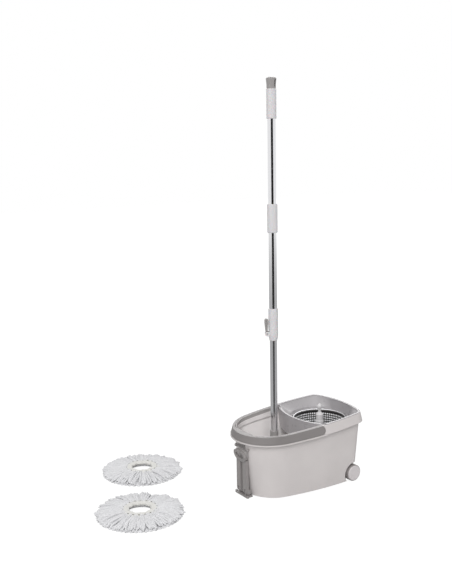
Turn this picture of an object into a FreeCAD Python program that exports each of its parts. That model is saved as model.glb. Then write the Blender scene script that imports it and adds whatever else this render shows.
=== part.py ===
import FreeCAD, Part
import math
import os

import Sketcher

# A spin mop standing in its wheeled wringer bucket, with two spare mop heads beside it.
# Millimetres. The origin is on the floor under the basket's axis; +X points to the wheels, +Z up.
# The bucket is symmetric about the XZ plane.

V = FreeCAD.Vector
DOC = FreeCAD.newDocument("SpinMop")
SHEET = DOC.addObject("Spreadsheet::Sheet", "Sizes")

SIZES = {
    # plan outline of the bucket at the rim and on the floor
    "rim_half_width": 134, "rim_tip_reach": 320, "rim_tip_radius": 123,
    "rim_end_reach": 98, "rim_corner_radius": 34, "rim_end_radius": 350,
    "base_half_width": 110.7, "base_tip_reach": 290, "base_tip_radius": 97,
    "base_end_reach": 78, "base_corner_radius": 19, "base_end_radius": 330,
    "flank_radius": 960,
    # levels and thicknesses of the bucket
    "ground_gap": 3, "rim_height": 226.5, "rim_slope": 0.067, "wall": 2.6,
    "ledge_height": 197.4, "ledge_slope": 0.0451, "ledge_lip": 6.7, "ledge_bead": 4.4,
    "apron_drop": 27, "seat_depth": 10, "seat_end_radius": 15.2,
    # carrying handle
    "bail_pivot_x": -100, "bail_pivot_z": 206.2, "bail_end_radius": 12.9, "bail_inner": 8.6,
    "bail_wall": 3, "bail_pin_radius": 4, "bail_grip_chord": -297,
    # wringer tray and basket
    "tray_gap": 5.6, "tray_taper": 7.8, "tray_front_centre": 149, "tray_front_radius": 260,
    "tray_wall": 2.4, "tray_web": 1.1, "tray_foot": 147, "tray_flange": 1.6, "deck_foot_radius": 97,
    "deck_foot": 202, "tray_bore": 90.5,
    "basket_rim_radius": 85.6, "basket_bead": 1.7, "basket_top": 196, "basket_floor": 118,
    "basket_floor_radius": 73, "basket_sheet": 1,
    "spindle_radius": 6, "bush_radius": 8.5, "pedestal_top": 100.4, "washer": 1.9,
    "post_foot": 119, "knob_height": 232.2,
    # wheels
    "wheel_x": 52, "wheel_radius": 26.8, "wheel_face": 117, "wheel_width": 22,
    "tyre": 2.2, "arch_radius": 35, "arch_depth": 90, "stub_radius": 4,
    # pull handle
    "tow_front": -312.6, "tow_back": -303, "tow_half_width": 27, "tow_top": 119,
    "tow_pin_x": -303, "tow_pin_z": 16, "tow_pin_radius": 3, "niche_back": -302,
    "niche_half_width": 30, "niche_shoulder": 146, "niche_neck": 20.5, "niche_top": 189,
    "loop_tilt": 14, "loop_length": 60, "loop_height": 38, "loop_section": 10, "loop_depth": 8,
    "loop_offset": 4, "loop_root": 4, "catch_foot": 157, "catch_top": 177, "catch_rib": 2,
    "peg_radius": 4, "peg_foot": -296, "peg_spread": 32, "peg_height": 157,
    # mop
    "pole_x": -184.7, "plate_radius": 62, "plate_bottom": 5.7, "swivel_height": 75,
    "swivel_pin_radius": 3, "socket_top": 188.5, "socket_radius": 13.3,
    "slim_radius": 11, "tube_wall": 0.8, "pole_radius": 12.5, "slim_foot": 118, "slim_top": 715,
    "collar_bottom": 483.5, "collar_top": 584.5, "collar_radius": 15,
    "middle_foot": 514, "middle_top": 864, "anchor_bottom": 840,
    "lever_height": 504, "lever_reach": 19.6, "lever_top": 552, "lever_bearing": 147.5,
    "connector_bottom": 821, "connector_top": 908.5, "connector_radius": 16,
    "grip_bottom": 1163.5, "grip_top": 1251.5, "grip_radius": 15,
    "cap_foot_radius": 14, "cap_radius": 15.8, "cap_top": 1286.5, "cap_dome": 6, "cap_slot_turn": 20.5,
    "bar_bottom": 420, "bar_width": 12, "bar_thick": 2, "bar_pitch": 80, "nut_height": 720,
    # spare heads
    "head_radius": 145, "head_ring_radius": 62.5, "head_hole_radius": 33, "head_ring_foot": 12,
    "head_ring_height": 9, "head_a_x": -640, "head_a_y": 60, "head_b_x": -480, "head_b_y": 360,
}


def fill_sheet():
    """Writes every size into the sheet, one alias a row."""
    for row, (alias, value) in enumerate(SIZES.items(), start=1):
        SHEET.set("A%d" % row, alias)
        SHEET.set("B%d" % row, str(value))
        SHEET.setAlias("B%d" % row, alias)
    DOC.recompute()


class Dim:
    """A length: its value now, and the sheet expression that keeps it bound."""

    def __init__(self, value, text):
        self.value = float(value)
        self.text = text

    def _with(self, other, sign, value, swapped=False):
        words = [self.text, text_of(other)]
        if swapped:
            words.reverse()
        return Dim(value, "(%s %s %s)" % (words[0], sign, words[1]))

    def __float__(self):
        return self.value

    def __neg__(self):
        return Dim(-self.value, "(-1 * %s)" % self.text)

    def __add__(self, other):
        return self._with(other, "+", self.value + float(other))

    def __radd__(self, other):
        return self._with(other, "+", float(other) + self.value, swapped=True)

    def __sub__(self, other):
        return self._with(other, "-", self.value - float(other))

    def __rsub__(self, other):
        return self._with(other, "-", float(other) - self.value, swapped=True)

    def __mul__(self, other):
        return self._with(other, "*", self.value * float(other))

    def __rmul__(self, other):
        return self._with(other, "*", float(other) * self.value, swapped=True)

    def __truediv__(self, other):
        return self._with(other, "/", self.value / float(other))


def text_of(value):
    """The expression text of a Dim or of a plain number."""
    return value.text if isinstance(value, Dim) else repr(float(value))


class SheetSizes:
    """Reads a size of the sheet by its alias, as a Dim."""

    def __getattr__(self, alias):
        return Dim(SHEET.get(alias), "Sizes." + alias)


S = SheetSizes()
NODES = []


def keep(thing, label):
    """Marks a finished object as a sub-part that is written to parts/LABEL.step."""
    thing.Label = label
    NODES.append(thing)
    return thing


def bind(thing, prop, value):
    """Ties a property to the sheet, or sets it when the value is a plain number."""
    if isinstance(value, Dim):
        thing.setExpression(prop, value.text)
    else:
        setattr(thing, prop, value)


def place(thing, x=0, y=0, z=0, axis=V(0, 0, 1), degrees=0):
    """Turns the object about axis through its own origin, then moves it; the position is bound."""
    thing.Placement = FreeCAD.Placement(V(float(x), float(y), float(z)), FreeCAD.Rotation(axis, degrees))
    for name, value in (("x", x), ("y", y), ("z", z)):
        if isinstance(value, Dim):
            thing.setExpression("Placement.Base.%s" % name, value.text)
    return thing


# ---------------------------------------------------------------- document objects

def new_body(name):
    return DOC.addObject("PartDesign::Body", name)


def sketch_on(body, role, name, level=0):
    """A sketch on one of the body's own origin planes, lifted along its normal by level."""
    sketch = body.newObject("Sketcher::SketchObject", name)
    plane = [part for part in body.Origin.OriginFeatures if part.Role == role][0]
    sketch.AttachmentSupport = [(plane, "")]
    sketch.MapMode = "FlatFace"
    sketch.AttachmentOffset = FreeCAD.Placement(V(0, 0, float(level)), FreeCAD.Rotation())
    if isinstance(level, Dim):
        sketch.setExpression("AttachmentOffset.Base.z", level.text)
    return sketch


def pin_point(sketch, geometry, point, across, up):
    """Holds one point of the sketch at a distance from its origin, bound to the sheet."""
    for kind, value in (("DistanceX", across), ("DistanceY", up)):
        index = sketch.addConstraint(Sketcher.Constraint(kind, -1, 1, geometry, point, float(value)))
        if isinstance(value, Dim):
            sketch.setExpression("Constraints[%d]" % index, value.text)


def polygon(sketch, corners):
    """A closed outline of straight lines through the corners."""
    first = sketch.GeometryCount
    count = len(corners)
    for here in range(count):
        start = corners[here]
        end = corners[(here + 1) % count]
        line = Part.LineSegment(V(float(start[0]), float(start[1]), 0), V(float(end[0]), float(end[1]), 0))
        sketch.addGeometry(line, False)
    for here in range(count):
        following = first + (here + 1) % count
        sketch.addConstraint(Sketcher.Constraint("Coincident", first + here, 2, following, 1))
    for here, (across, up) in enumerate(corners):
        pin_point(sketch, first + here, 1, across, up)


def turned(name, profile):
    """A body of revolution about its own Z axis; profile holds (radius, height) corners."""
    body = new_body(name)
    sketch = sketch_on(body, "XZ_Plane", name + "_profile")
    polygon(sketch, profile)
    revolution = body.newObject("PartDesign::Revolution", name + "_turned")
    revolution.Profile = sketch
    revolution.ReferenceAxis = (sketch, ["V_Axis"])
    revolution.Angle = 360
    body.Tip = revolution
    return body


def padded(name, role, length, outline, level=0):
    """A body padded from one outline; outline is called with the empty sketch."""
    body = new_body(name)
    sketch = sketch_on(body, role, name + "_outline", level)
    outline(sketch)
    pad = body.newObject("PartDesign::Pad", name + "_pad")
    pad.Profile = sketch
    bind(pad, "Length", length)
    body.Tip = pad
    return body


def cylinder(name, radius, height):
    thing = DOC.addObject("Part::Cylinder", name)
    bind(thing, "Radius", radius)
    bind(thing, "Height", height)
    return thing


def lying(name, radius, start, end, x, z):
    """A cylinder along +Y from start to end, its axis at x, z."""
    thing = cylinder(name, radius, end - start)
    return place(thing, x, start, z, V(1, 0, 0), -90)


def block(name, x, y, z):
    """A box given by its three spans, each (low, high)."""
    thing = DOC.addObject("Part::Box", name)
    for prop, span in (("Length", x), ("Width", y), ("Height", z)):
        bind(thing, prop, span[1] - span[0])
    return place(thing, x[0], y[0], z[0])


def fused(name, things):
    thing = DOC.addObject("Part::MultiFuse", name)
    thing.Shapes = things
    return thing


def cut(name, base, tool):
    thing = DOC.addObject("Part::Cut", name)
    thing.Base = base
    thing.Tool = tool
    return thing


def group(name, things):
    """Separate solids that share one node."""
    thing = DOC.addObject("Part::Compound", name)
    thing.Links = things
    return thing


def shaped(label, shape):
    """A sub-part whose shape comes straight from Part's functions."""
    thing = DOC.addObject("Part::Feature", label)
    thing.Shape = shape
    thing.Placement = FreeCAD.Placement()
    return keep(thing, label)


# ---------------------------------------------------------------- plan outlines

def heading(start, end):
    return math.atan2(end.y - start.y, end.x - start.x)


def meeting(centre_a, radius_a, centre_b, radius_b, side):
    """Where two circles cross; side +1 takes the crossing on the left of the line from a to b."""
    span = centre_b - centre_a
    along = (radius_a ** 2 - radius_b ** 2 + span.Length ** 2) / (2 * span.Length)
    across = math.sqrt(radius_a ** 2 - along ** 2)
    unit = V(span).normalize()
    return centre_a + unit * along + V(-unit.y, unit.x, 0) * across * side


def arc(centre, radius, start, end):
    """An arc edge about centre between two angles in radians."""
    at = [centre + V(math.cos(turn), math.sin(turn), 0) * radius for turn in (start, (start + end) / 2, end)]
    return Part.Arc(at[0], at[1], at[2]).toShape()


class Outline:
    """A bucket outline of tangent arcs: bowed end, corners, long flanks and round tip."""

    def __init__(self, half_width, tip_reach, tip_radius, end_reach, corner_radius, end_radius):
        self.tip_radius = float(tip_radius)
        self.corner_radius = float(corner_radius)
        self.end_radius = float(end_radius)
        self.flank_radius = float(S.flank_radius)
        self.tip = V(self.tip_radius - float(tip_reach), 0, 0)
        drop = self.flank_radius - float(half_width)
        reach = math.sqrt((self.flank_radius - self.tip_radius) ** 2 - drop ** 2)
        self.flank = V(self.tip.x + reach, -drop, 0)
        self.end = V(float(end_reach) - self.end_radius, 0, 0)
        self.corner = meeting(self.flank, self.flank_radius - self.corner_radius,
                              self.end, self.end_radius - self.corner_radius, -1)

    def half(self, offset, flank_end):
        """The +Y half as (centre, radius, start, end) arcs from the end bow to the flank's end."""
        bow_turn = heading(self.end, self.corner)
        corner_turn = heading(self.flank, self.corner)
        return [
            (self.end, self.end_radius + offset, 0, bow_turn),
            (self.corner, self.corner_radius + offset, bow_turn, corner_turn),
            (self.flank, self.flank_radius + offset, corner_turn, flank_end),
        ]

    def closed(self, arcs, frame):
        """Mirrors the half outline and joins both halves; the arcs on the XZ plane become one."""
        first = arcs[0]
        last = arcs[-1]
        edges = [arc(first[0], first[1], -first[3], first[3])]
        edges += [arc(*piece) for piece in arcs[1:-1]]
        edges.append(arc(last[0], last[1], last[2], 2 * math.pi - last[2]))
        for centre, radius, start, end in reversed(arcs[1:-1]):
            edges.append(arc(V(centre.x, -centre.y, 0), radius, -end, -start))
        wire = Part.Wire(edges)
        wire.Placement = frame
        return wire

    def wire(self, offset, frame):
        """The whole outline grown by offset, laid in the plane of frame."""
        tip_turn = heading(self.flank, self.tip)
        arcs = self.half(offset, tip_turn)
        arcs.append((self.tip, self.tip_radius + offset, tip_turn, math.pi))
        return self.closed(arcs, frame)

    def front(self, offset):
        """Where the flank meets the tray's bowed front, at this offset."""
        centre = V(float(S.tray_front_centre), 0, 0)
        radius = float(S.tray_front_radius) + offset
        inset = offset - float(S.tray_gap)
        point = meeting(self.flank, self.flank_radius + inset, centre, radius, 1)
        return centre, radius, inset, point

    def tray_wire(self, offset, frame):
        """The tray's outline: the bucket's end and flanks, closed by the bowed front."""
        centre, radius, inset, point = self.front(offset)
        arcs = self.half(inset, heading(self.flank, point))
        arcs.append((centre, radius, heading(centre, point), math.pi))
        return self.closed(arcs, frame)


def level(height):
    """A level plane."""
    return FreeCAD.Placement(V(0, 0, height), FreeCAD.Rotation())


def tilted(height, slope):
    turn = FreeCAD.Rotation(V(0, 1, 0), -math.degrees(math.atan(slope)))
    return FreeCAD.Placement(V(0, 0, height), turn)


def rim(above=0.0):
    """The bucket's sloping rim plane, moved up by above."""
    return tilted(float(S.rim_height) + above, float(S.rim_slope))


def ledge(above=0.0):
    """The plane of the ledge under the carrying handle, moved up by above."""
    return tilted(float(S.ledge_height) + above, float(S.ledge_slope))


def joined(low, high):
    """The solid with straight walls between two outlines."""
    return Part.makeLoft([low, high], True, True)


def box(x, y, z):
    """A box shape from its three (low, high) spans."""
    return Part.makeBox(x[1] - x[0], y[1] - y[0], z[1] - z[0], V(x[0], y[0], z[0]))


def across(radius, start, end, x, z):
    """A cylinder shape along Y from start to end."""
    return Part.makeCylinder(radius, end - start, V(x, start, z), V(0, 1, 0))


FAR = 900.0  # larger than the bucket: half-size of the boxes that pick one end of it


def west_of(x):
    return box((-FAR, x), (-FAR, FAR), (-FAR, FAR))


def east_of(x):
    return box((x, FAR), (-FAR, FAR), (-FAR, FAR))


fill_sheet()
RIM = Outline(S.rim_half_width, S.rim_tip_reach, S.rim_tip_radius,
              S.rim_end_reach, S.rim_corner_radius, S.rim_end_radius)
BASE = Outline(S.base_half_width, S.base_tip_reach, S.base_tip_radius,
               S.base_end_reach, S.base_corner_radius, S.base_end_radius)
BODY_INSET = -2.0  # the bucket's wall meets the rim this far inside its edge


# ---------------------------------------------------------------- bucket

def bail_end(radius):
    """A disc across the bucket on the carrying handle's pivot."""
    return across(radius, -FAR, FAR, float(S.bail_pivot_x), float(S.bail_pivot_z))


def handle_recess(depth, top):
    """The space of the handle round the water end, with a round end at the pivot."""
    core = joined(RIM.wire(-depth, ledge()), RIM.wire(-depth, rim(top)))
    outside = joined(RIM.wire(30, ledge()), RIM.wire(30, rim(top)))
    reach = west_of(float(S.bail_pivot_x)).fuse(bail_end(float(S.seat_end_radius)))
    return outside.cut(core).common(reach)


def handle_seat(body):
    """Steps the wall in round the water end, so that the carrying handle lies flush on a ledge."""
    wall = float(S.wall)
    depth = float(S.seat_depth)
    lip = float(S.ledge_lip) + 0.8
    bead = -float(S.ledge_bead)
    seat_end = float(S.bail_pivot_x) + float(S.seat_end_radius) + wall
    shelf = joined(RIM.wire(lip, ledge(bead)), RIM.wire(lip, ledge()))
    shelf = shelf.cut(joined(RIM.wire(lip - wall, ledge(bead)), RIM.wire(lip - wall, ledge(-wall))))
    upright = joined(RIM.wire(-depth, ledge(-wall)), RIM.wire(-depth, rim()))
    inside = joined(RIM.wire(-depth - wall, ledge(-wall)), RIM.wire(-depth - wall, rim()))
    seat = shelf.fuse(upright).cut(inside).common(west_of(seat_end))
    grip = joined(RIM.wire(30, rim(-3.4)), RIM.wire(30, rim(3)))
    grip = grip.common(west_of(float(S.bail_grip_chord) + 2))
    return body.fuse(seat).cut(grip)


def apron():
    """The flared apron round the wringer end, solid where the handle's round ends sink into it."""
    wall = float(S.wall)
    lip = float(S.ledge_lip)
    drop = -float(S.apron_drop) - wall
    front = float(S.bail_pivot_x)
    solid_end = front + float(S.seat_end_radius) + wall
    outside = joined(RIM.wire(lip, rim(drop)), RIM.wire(0, rim()))
    inside = joined(RIM.wire(lip - wall, rim(drop)), RIM.wire(-wall, rim(-wall)))
    core = joined(RIM.wire(BODY_INSET - wall, rim(drop)), RIM.wire(BODY_INSET - wall, rim()))
    skirt = outside.cut(inside).cut(core).common(east_of(front))
    depth = -float(S.seat_depth) - wall
    inner_core = joined(RIM.wire(depth, rim(drop - 1)), RIM.wire(depth, rim(1)))
    shoulder = outside.cut(inner_core).common(box((front, solid_end), (-FAR, FAR), (0, FAR)))
    return skirt.fuse(shoulder)


def wheel_arch(body, outer, side):
    """An arch for one wheel, closed to the water inside, with a boss for the stub axle."""
    wall = float(S.wall)
    depth = float(S.arch_depth)
    x = float(S.wheel_x)
    z = float(S.wheel_radius)
    boss_foot = depth - 18
    stub_foot = depth - 14

    def span(near, far):
        return sorted((side * near, side * far))

    lining = across(float(S.arch_radius) + wall, *span(depth - wall, FAR), x, z).common(outer)
    boss = across(9, *span(boss_foot, depth), x, z)
    opening = across(float(S.arch_radius), *span(depth, FAR), x, z)
    bore = across(float(S.stub_radius), *span(stub_foot, depth + 1), x, z)
    return body.fuse(lining).fuse(boss).cut(opening).cut(bore)


def tow_niche(body, outer):
    """A flat-backed niche in the tip: wide for the pull handle, narrower above it for the catch."""
    wall = float(S.wall)
    back = float(S.niche_back)
    for half, foot, top in ((float(S.niche_half_width), 8, float(S.niche_shoulder)),
                            (float(S.niche_neck), float(S.niche_shoulder), float(S.niche_top))):
        lining = box((-FAR, back + wall), (-half - wall, half + wall), (foot, top + wall)).common(outer)
        body = body.fuse(lining)
    for half, top in ((float(S.niche_half_width), float(S.niche_shoulder)),
                      (float(S.niche_neck), float(S.niche_top))):
        body = body.cut(box((-FAR, back), (-half, half), (-1, top)))
    return body


def bucket_shell():
    wall = float(S.wall)
    foot = float(S.ground_gap)
    outer = joined(BASE.wire(0, level(foot)), RIM.wire(BODY_INSET, rim()))
    inner = joined(BASE.wire(-wall, level(foot + wall)), RIM.wire(BODY_INSET - wall, rim(0.5)))
    body = outer.cut(inner)
    body = tow_niche(body, outer)
    body = handle_seat(body)
    body = body.fuse(apron()).cut(handle_recess(float(S.seat_depth), 3))
    for side in (-1, 1):
        body = wheel_arch(body, outer, side)
    pin = float(S.bail_pin_radius)
    body = body.cut(across(pin, -FAR, FAR, float(S.bail_pivot_x), float(S.bail_pivot_z)))
    for side in (-1, 1):
        start = V(float(S.peg_foot) - 30, side * float(S.peg_spread), float(S.peg_height))
        body = body.cut(Part.makeCylinder(float(S.peg_radius), 40, start, V(1, 0, 0)))
    shaped("bucket_shell", body.removeSplitter())


def base_pads():
    """Three round pads under the bucket; the middle one bears the push on the basket."""
    spots = [(0, 0, 18), (-180, 70, 9), (-180, -70, 9)]
    pads = []
    for number, (x, y, radius) in enumerate(spots):
        pads.append(place(cylinder("base_pad_%d" % number, radius, S.ground_gap), x, y, 0))
    keep(group("base_pads", pads), "base_pads")


def bail_handle():
    """A channel that follows the rim round the water end, with round pivot ends and a grip."""
    skin = float(S.bail_wall)
    inner = -float(S.bail_inner)
    flare = float(S.ledge_lip) - 1
    lift = 0.4
    pivot = (float(S.bail_pivot_x), float(S.bail_pivot_z))
    outside = joined(RIM.wire(flare, ledge(lift)), RIM.wire(0, rim()))
    core = joined(RIM.wire(inner, ledge(lift)), RIM.wire(inner, rim()))
    rail = outside.cut(core)
    channel = joined(RIM.wire(flare - skin, ledge(lift)), RIM.wire(-skin, rim(-skin)))
    lining = inner + 0.8 * skin
    channel = channel.cut(joined(RIM.wire(lining, ledge(lift)), RIM.wire(lining, rim(-skin))))
    boss = rail.common(across(9, -FAR, FAR, *pivot))
    rail = rail.cut(channel).fuse(boss)
    nose = across(float(S.bail_end_radius) - 0.5, -FAR, FAR, pivot[0] + 2, pivot[1] + 1.5)
    rail = rail.common(west_of(pivot[0]).fuse(bail_end(float(S.bail_end_radius))).fuse(nose))
    lip = inner + 0.5
    grip = joined(RIM.wire(lip, rim(-skin)), RIM.wire(lip, rim())).common(west_of(float(S.bail_grip_chord)))
    bore = float(S.bail_pin_radius) + 0.05
    blind = float(S.rim_half_width) - 1.3
    bores = across(bore, -blind, blind, *pivot)
    shaped("bail_handle", rail.fuse(grip).cut(bores).removeSplitter())


def bail_pins():
    """A headed pin in each side of the bucket, put in from the inside."""
    wall_face = S.rim_half_width - 13.7
    head = wall_face - 3
    tip = S.rim_half_width - 1.6
    pins = []
    for side, turn in (("left", -90), ("right", 90)):
        profile = [(0, head), (6.5, head), (6.5, wall_face), (S.bail_pin_radius, wall_face),
                   (S.bail_pin_radius, tip), (0, tip)]
        pin = turned("bail_pin_" + side, profile)
        pins.append(place(pin, S.bail_pivot_x, 0, S.bail_pivot_z, V(1, 0, 0), turn))
    keep(group("bail_pins", pins), "bail_pins")


# ---------------------------------------------------------------- pull handle at the tip

def tow_bar():
    """A deeply grooved bar on its pin, notched for the bracket's ears, with a finger loop on top."""
    front, back = S.tow_front, S.tow_back
    half = S.tow_half_width
    strip = block("tow_strip", (front, back), (-half, half), (S.tow_pin_z, S.tow_top))
    foot = lying("tow_eye", 8.5, -half, half, S.tow_pin_x, S.tow_pin_z)
    bar = fused("tow_bar_solid", [strip, foot])
    groove = block("tow_groove", (front - 1, front + 8), (-6.5, 6.5), (0, S.tow_top - 8))
    notches = []
    for side in (-1, 1):
        near = sorted((EAR_NEAR * side - 0.5 * side, (EAR_NEAR + EAR_WIDTH + 0.5) * side))
        notches.append(block("tow_notch_%d" % (side + 1), (front - 1, back + 10), near,
                             (0, S.tow_pin_z + 9.5)))
    pin_bore = lying("tow_bore", S.tow_pin_radius + 0.05, -half - 1, half + 1, S.tow_pin_x, S.tow_pin_z)
    bar = cut("tow_bar_bored", bar, fused("tow_bar_openings", [groove, pin_bore] + notches))
    keep(fused("tow_bar", [bar, finger_loop()]), "tow_bar")


def finger_loop():
    """An oval loop that leans out from the top of the bar."""
    outer = S.loop_height / 2
    centre = S.loop_length / 2 - outer
    parts = []
    for name, radius in (("loop_outer", outer), ("loop_inner", outer - S.loop_section)):
        ends = []
        for side in (-1, 1):
            end = cylinder("%s_end_%d" % (name, side + 1), radius, S.loop_depth)
            ends.append(place(end, 0, centre * side, outer - S.loop_root, V(0, 1, 0), 90))
        middle = block(name + "_middle", (0, S.loop_depth), (-centre, centre),
                       (outer - S.loop_root - radius, outer - S.loop_root + radius))
        parts.append(fused(name, ends + [middle]))
    loop = cut("finger_loop", parts[0], parts[1])
    return place(loop, S.tow_front - S.loop_offset, 0, S.tow_top - 1, V(0, 1, 0), -SIZES["loop_tilt"])


EAR_NEAR = 15.0  # the bracket's two ears start this far from the middle
EAR_WIDTH = 5.0


def tow_foot():
    """The bracket on the floor: a bar with lobed ends, two ears for the pin, a tongue under the bucket."""
    half = S.tow_half_width
    plate = block("foot_plate", (S.tow_pin_x - 12, S.tow_pin_x + 11), (-half - 4, half + 4), (0, 5))
    tongue = block("foot_tongue", (S.tow_pin_x + 10, S.tow_pin_x + 46), (-16, 16), (0, S.ground_gap))
    parts = [plate, tongue]
    for side in (-1, 1):
        number = side + 1
        lobe = cylinder("foot_lobe_%d" % number, 4.2, 8)
        parts.append(place(lobe, S.tow_pin_x - 7.8, (half + 4.6) * side, 0))
        near, end = sorted((EAR_NEAR * side, (EAR_NEAR + EAR_WIDTH) * side))
        parts.append(lying("foot_ear_%d" % number, 8, near, end, S.tow_pin_x, S.tow_pin_z))
        parts.append(block("foot_web_%d" % number, (S.tow_pin_x - 8, S.tow_pin_x + 8), (near, end),
                           (0, S.tow_pin_z)))
    bracket = fused("foot_solid", parts)
    bore = lying("foot_bore", S.tow_pin_radius, -50, 50, S.tow_pin_x, S.tow_pin_z)
    holes = [place(cylinder("foot_hole_%d" % y, 1.6, 6), S.tow_pin_x + 36, y, -1) for y in (-9, 9)]
    keep(cut("tow_foot", cut("foot_bored", bracket, bore), fused("foot_holes", holes)), "tow_foot")


def tow_pin():
    half = S.tow_half_width - 0.5
    keep(lying("tow_pin", S.tow_pin_radius, -half, half, S.tow_pin_x, S.tow_pin_z), "tow_pin")


def tow_catch():
    """The ribbed catch above the loop: a backing block with three ribs across it."""
    half = S.niche_neck - 0.6
    back = S.niche_back
    front = back - 8
    parts = [block("catch_back", (front, back), (-half, half), (S.catch_foot, S.catch_top))]
    for number in range(3):
        rib_foot = S.catch_foot + 8 * number
        parts.append(block("catch_rib_%d" % number, (front - S.catch_rib, front), (-half, half),
                           (rib_foot, rib_foot + 4)))
    keep(fused("tow_catch", parts), "tow_catch")


def tow_pegs():
    """Two round-headed pegs beside the loop."""
    radius = S.peg_radius
    pegs = []
    for side in (-1, 1):
        peg = turned("peg_%d" % (side + 1), [
            (0, 0), (radius, 0), (radius, 12), (5, 12), (5, 15), (4, 17.4), (2, 18.6), (0, 18.6)])
        pegs.append(place(peg, S.peg_foot, S.peg_spread * side, S.peg_height, V(0, 1, 0), -90))
    keep(group("tow_pegs", pegs), "tow_pegs")


# ---------------------------------------------------------------- wheels

def wheels():
    """A wheel body, its tread and its stub axle in each arch."""
    rim_radius = S.wheel_radius - S.tyre
    inner = S.wheel_face - S.wheel_width
    for side, turn in (("left", -90), ("right", 90)):
        body = turned("wheel_" + side, [
            (S.stub_radius + 0.05, inner), (9, inner), (9, inner + 10), (rim_radius - 3, inner + 14),
            (rim_radius - 3, inner + 2), (rim_radius, inner + 2), (rim_radius, S.wheel_face - 1.5),
            (rim_radius - 1.5, S.wheel_face), (0, S.wheel_face), (0, S.wheel_face - 3),
            (S.stub_radius + 0.05, S.wheel_face - 3)])
        tyre = turned("tyre_" + side, [
            (rim_radius, inner + 3), (S.wheel_radius - 0.8, inner + 3), (S.wheel_radius, inner + 4),
            (S.wheel_radius, S.wheel_face - 3.4), (S.wheel_radius - 0.8, S.wheel_face - 2.4),
            (rim_radius, S.wheel_face - 2.4)])
        stub = turned("stub_axle_" + side, [
            (0, S.arch_depth - 14), (S.stub_radius, S.arch_depth - 14),
            (S.stub_radius, S.wheel_face - 3.4), (0, S.wheel_face - 3.4)])
        for thing, label in ((body, "wheel_"), (tyre, "tyre_"), (stub, "stub_axle_")):
            place(thing, S.wheel_x, 0, S.wheel_radius, V(1, 0, 0), turn)
            keep(thing, label + side)


# ---------------------------------------------------------------- wringer

def round_wire(radius, height, corners):
    """A level circle about the basket's axis, split at the bearings of the given corners."""
    turns = [math.atan2(corner.y, corner.x) for corner in corners]
    edges = []
    for here, start in enumerate(turns):
        end = turns[(here + 1) % len(turns)]
        while end <= start:
            end += 2 * math.pi
        edges.append(arc(V(0, 0, 0), radius, start, end))
    wire = Part.Wire(edges)
    wire.Placement = level(height)
    return wire


def funnel(radius, foot, outline):
    """The solid between a circle at the basket and an outline at the rim."""
    corners = [vertex.Point for vertex in outline.OrderedVertexes]
    return joined(round_wire(radius, foot, corners), outline)


def wringer_tray():
    """A lift-out tray that hangs on the rim: deck sloping to the basket, apron walls below."""
    skin = float(S.tray_wall)
    foot = float(S.tray_foot)
    taper = float(S.tray_taper)
    top = float(S.tray_flange)
    bore = float(S.tray_bore)
    deck_radius = float(S.deck_foot_radius)
    deck_foot = float(S.deck_foot)
    step = 2.6

    def disc(radius, low, high):
        return Part.makeCylinder(radius, high - low, V(0, 0, low))

    outer = joined(RIM.tray_wire(-taper, level(foot)), RIM.tray_wire(0, rim(top)))
    flange = joined(RIM.wire(-1.5, rim(0.1)), RIM.wire(-1.5, rim(top)))
    flange = flange.common(east_of(-78.5))
    bowl = funnel(deck_radius, deck_foot, RIM.tray_wire(-skin, rim(top + 0.01)))
    bowl = bowl.fuse(disc(deck_radius, deck_foot - step, deck_foot))
    bowl = bowl.fuse(disc(deck_radius - 3, deck_foot - 2 * step, deck_foot))
    bowl = bowl.fuse(disc(bore, foot - 1, deck_foot))
    web = float(S.tray_web)
    kept_wall = joined(RIM.tray_wire(-taper - web, level(foot - 1)), RIM.tray_wire(-web, rim(top + 0.02)))
    bowl = bowl.common(kept_wall).fuse(disc(bore, foot - 10, float(S.basket_top) + 0.5))
    deck = funnel(deck_radius + skin, deck_foot - skin, RIM.tray_wire(0.2, rim(-0.6)))
    deck = deck.fuse(disc(deck_radius + skin, deck_foot - 2 * step - skin, deck_foot - skin))
    deck = deck.fuse(disc(bore + skin, deck_foot - 20, deck_foot))
    hollow = joined(RIM.tray_wire(-taper - skin, level(foot)), RIM.tray_wire(-skin, rim(0)))
    hollow = hollow.cut(deck)
    lowered = joined(RIM.wire(30, rim(-3)), RIM.wire(30, rim(6))).common(west_of(-79))
    tray = outer.fuse(flange).cut(bowl).cut(hollow).cut(lowered)
    shaped("wringer_tray", tray.removeSplitter())


def basket_pedestal():
    floor = S.ground_gap + S.wall
    keep(turned("basket_pedestal", [
        (0, floor), (40, floor), (40, floor + 3.4), (28, floor + 3.4), (22, floor + 11),
        (20, S.pedestal_top), (S.spindle_radius, S.pedestal_top), (S.spindle_radius, S.pedestal_top - 24),
        (0, S.pedestal_top - 24)]), "basket_pedestal")


def pedestal_screws():
    """Four screws through the pedestal's flange into the bucket's floor."""
    seat = S.ground_gap + S.wall + 3.4
    screws = []
    for number in range(4):
        turn = math.radians(45 + 90 * number)
        screw = turned("pedestal_screw_%d" % number, [
            (0, seat), (0, seat + 2.4), (3.4, seat + 2.4), (4, seat + 1.6), (4, seat)])
        screws.append(place(screw, 34 * math.cos(turn), 34 * math.sin(turn), 0))
    keep(group("pedestal_screws", screws), "pedestal_screws")


def spindle():
    top = S.pedestal_top + 38
    foot = S.pedestal_top - 24
    radius = S.spindle_radius
    keep(turned("basket_spindle", [
        (0, foot), (radius, foot), (radius, top - 1.5), (radius - 1.5, top), (0, top)]), "basket_spindle")
    keep(turned("thrust_washer", [
        (radius + 0.1, S.pedestal_top), (14, S.pedestal_top), (14, S.pedestal_top + S.washer),
        (radius + 0.1, S.pedestal_top + S.washer)]), "thrust_washer")


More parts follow.
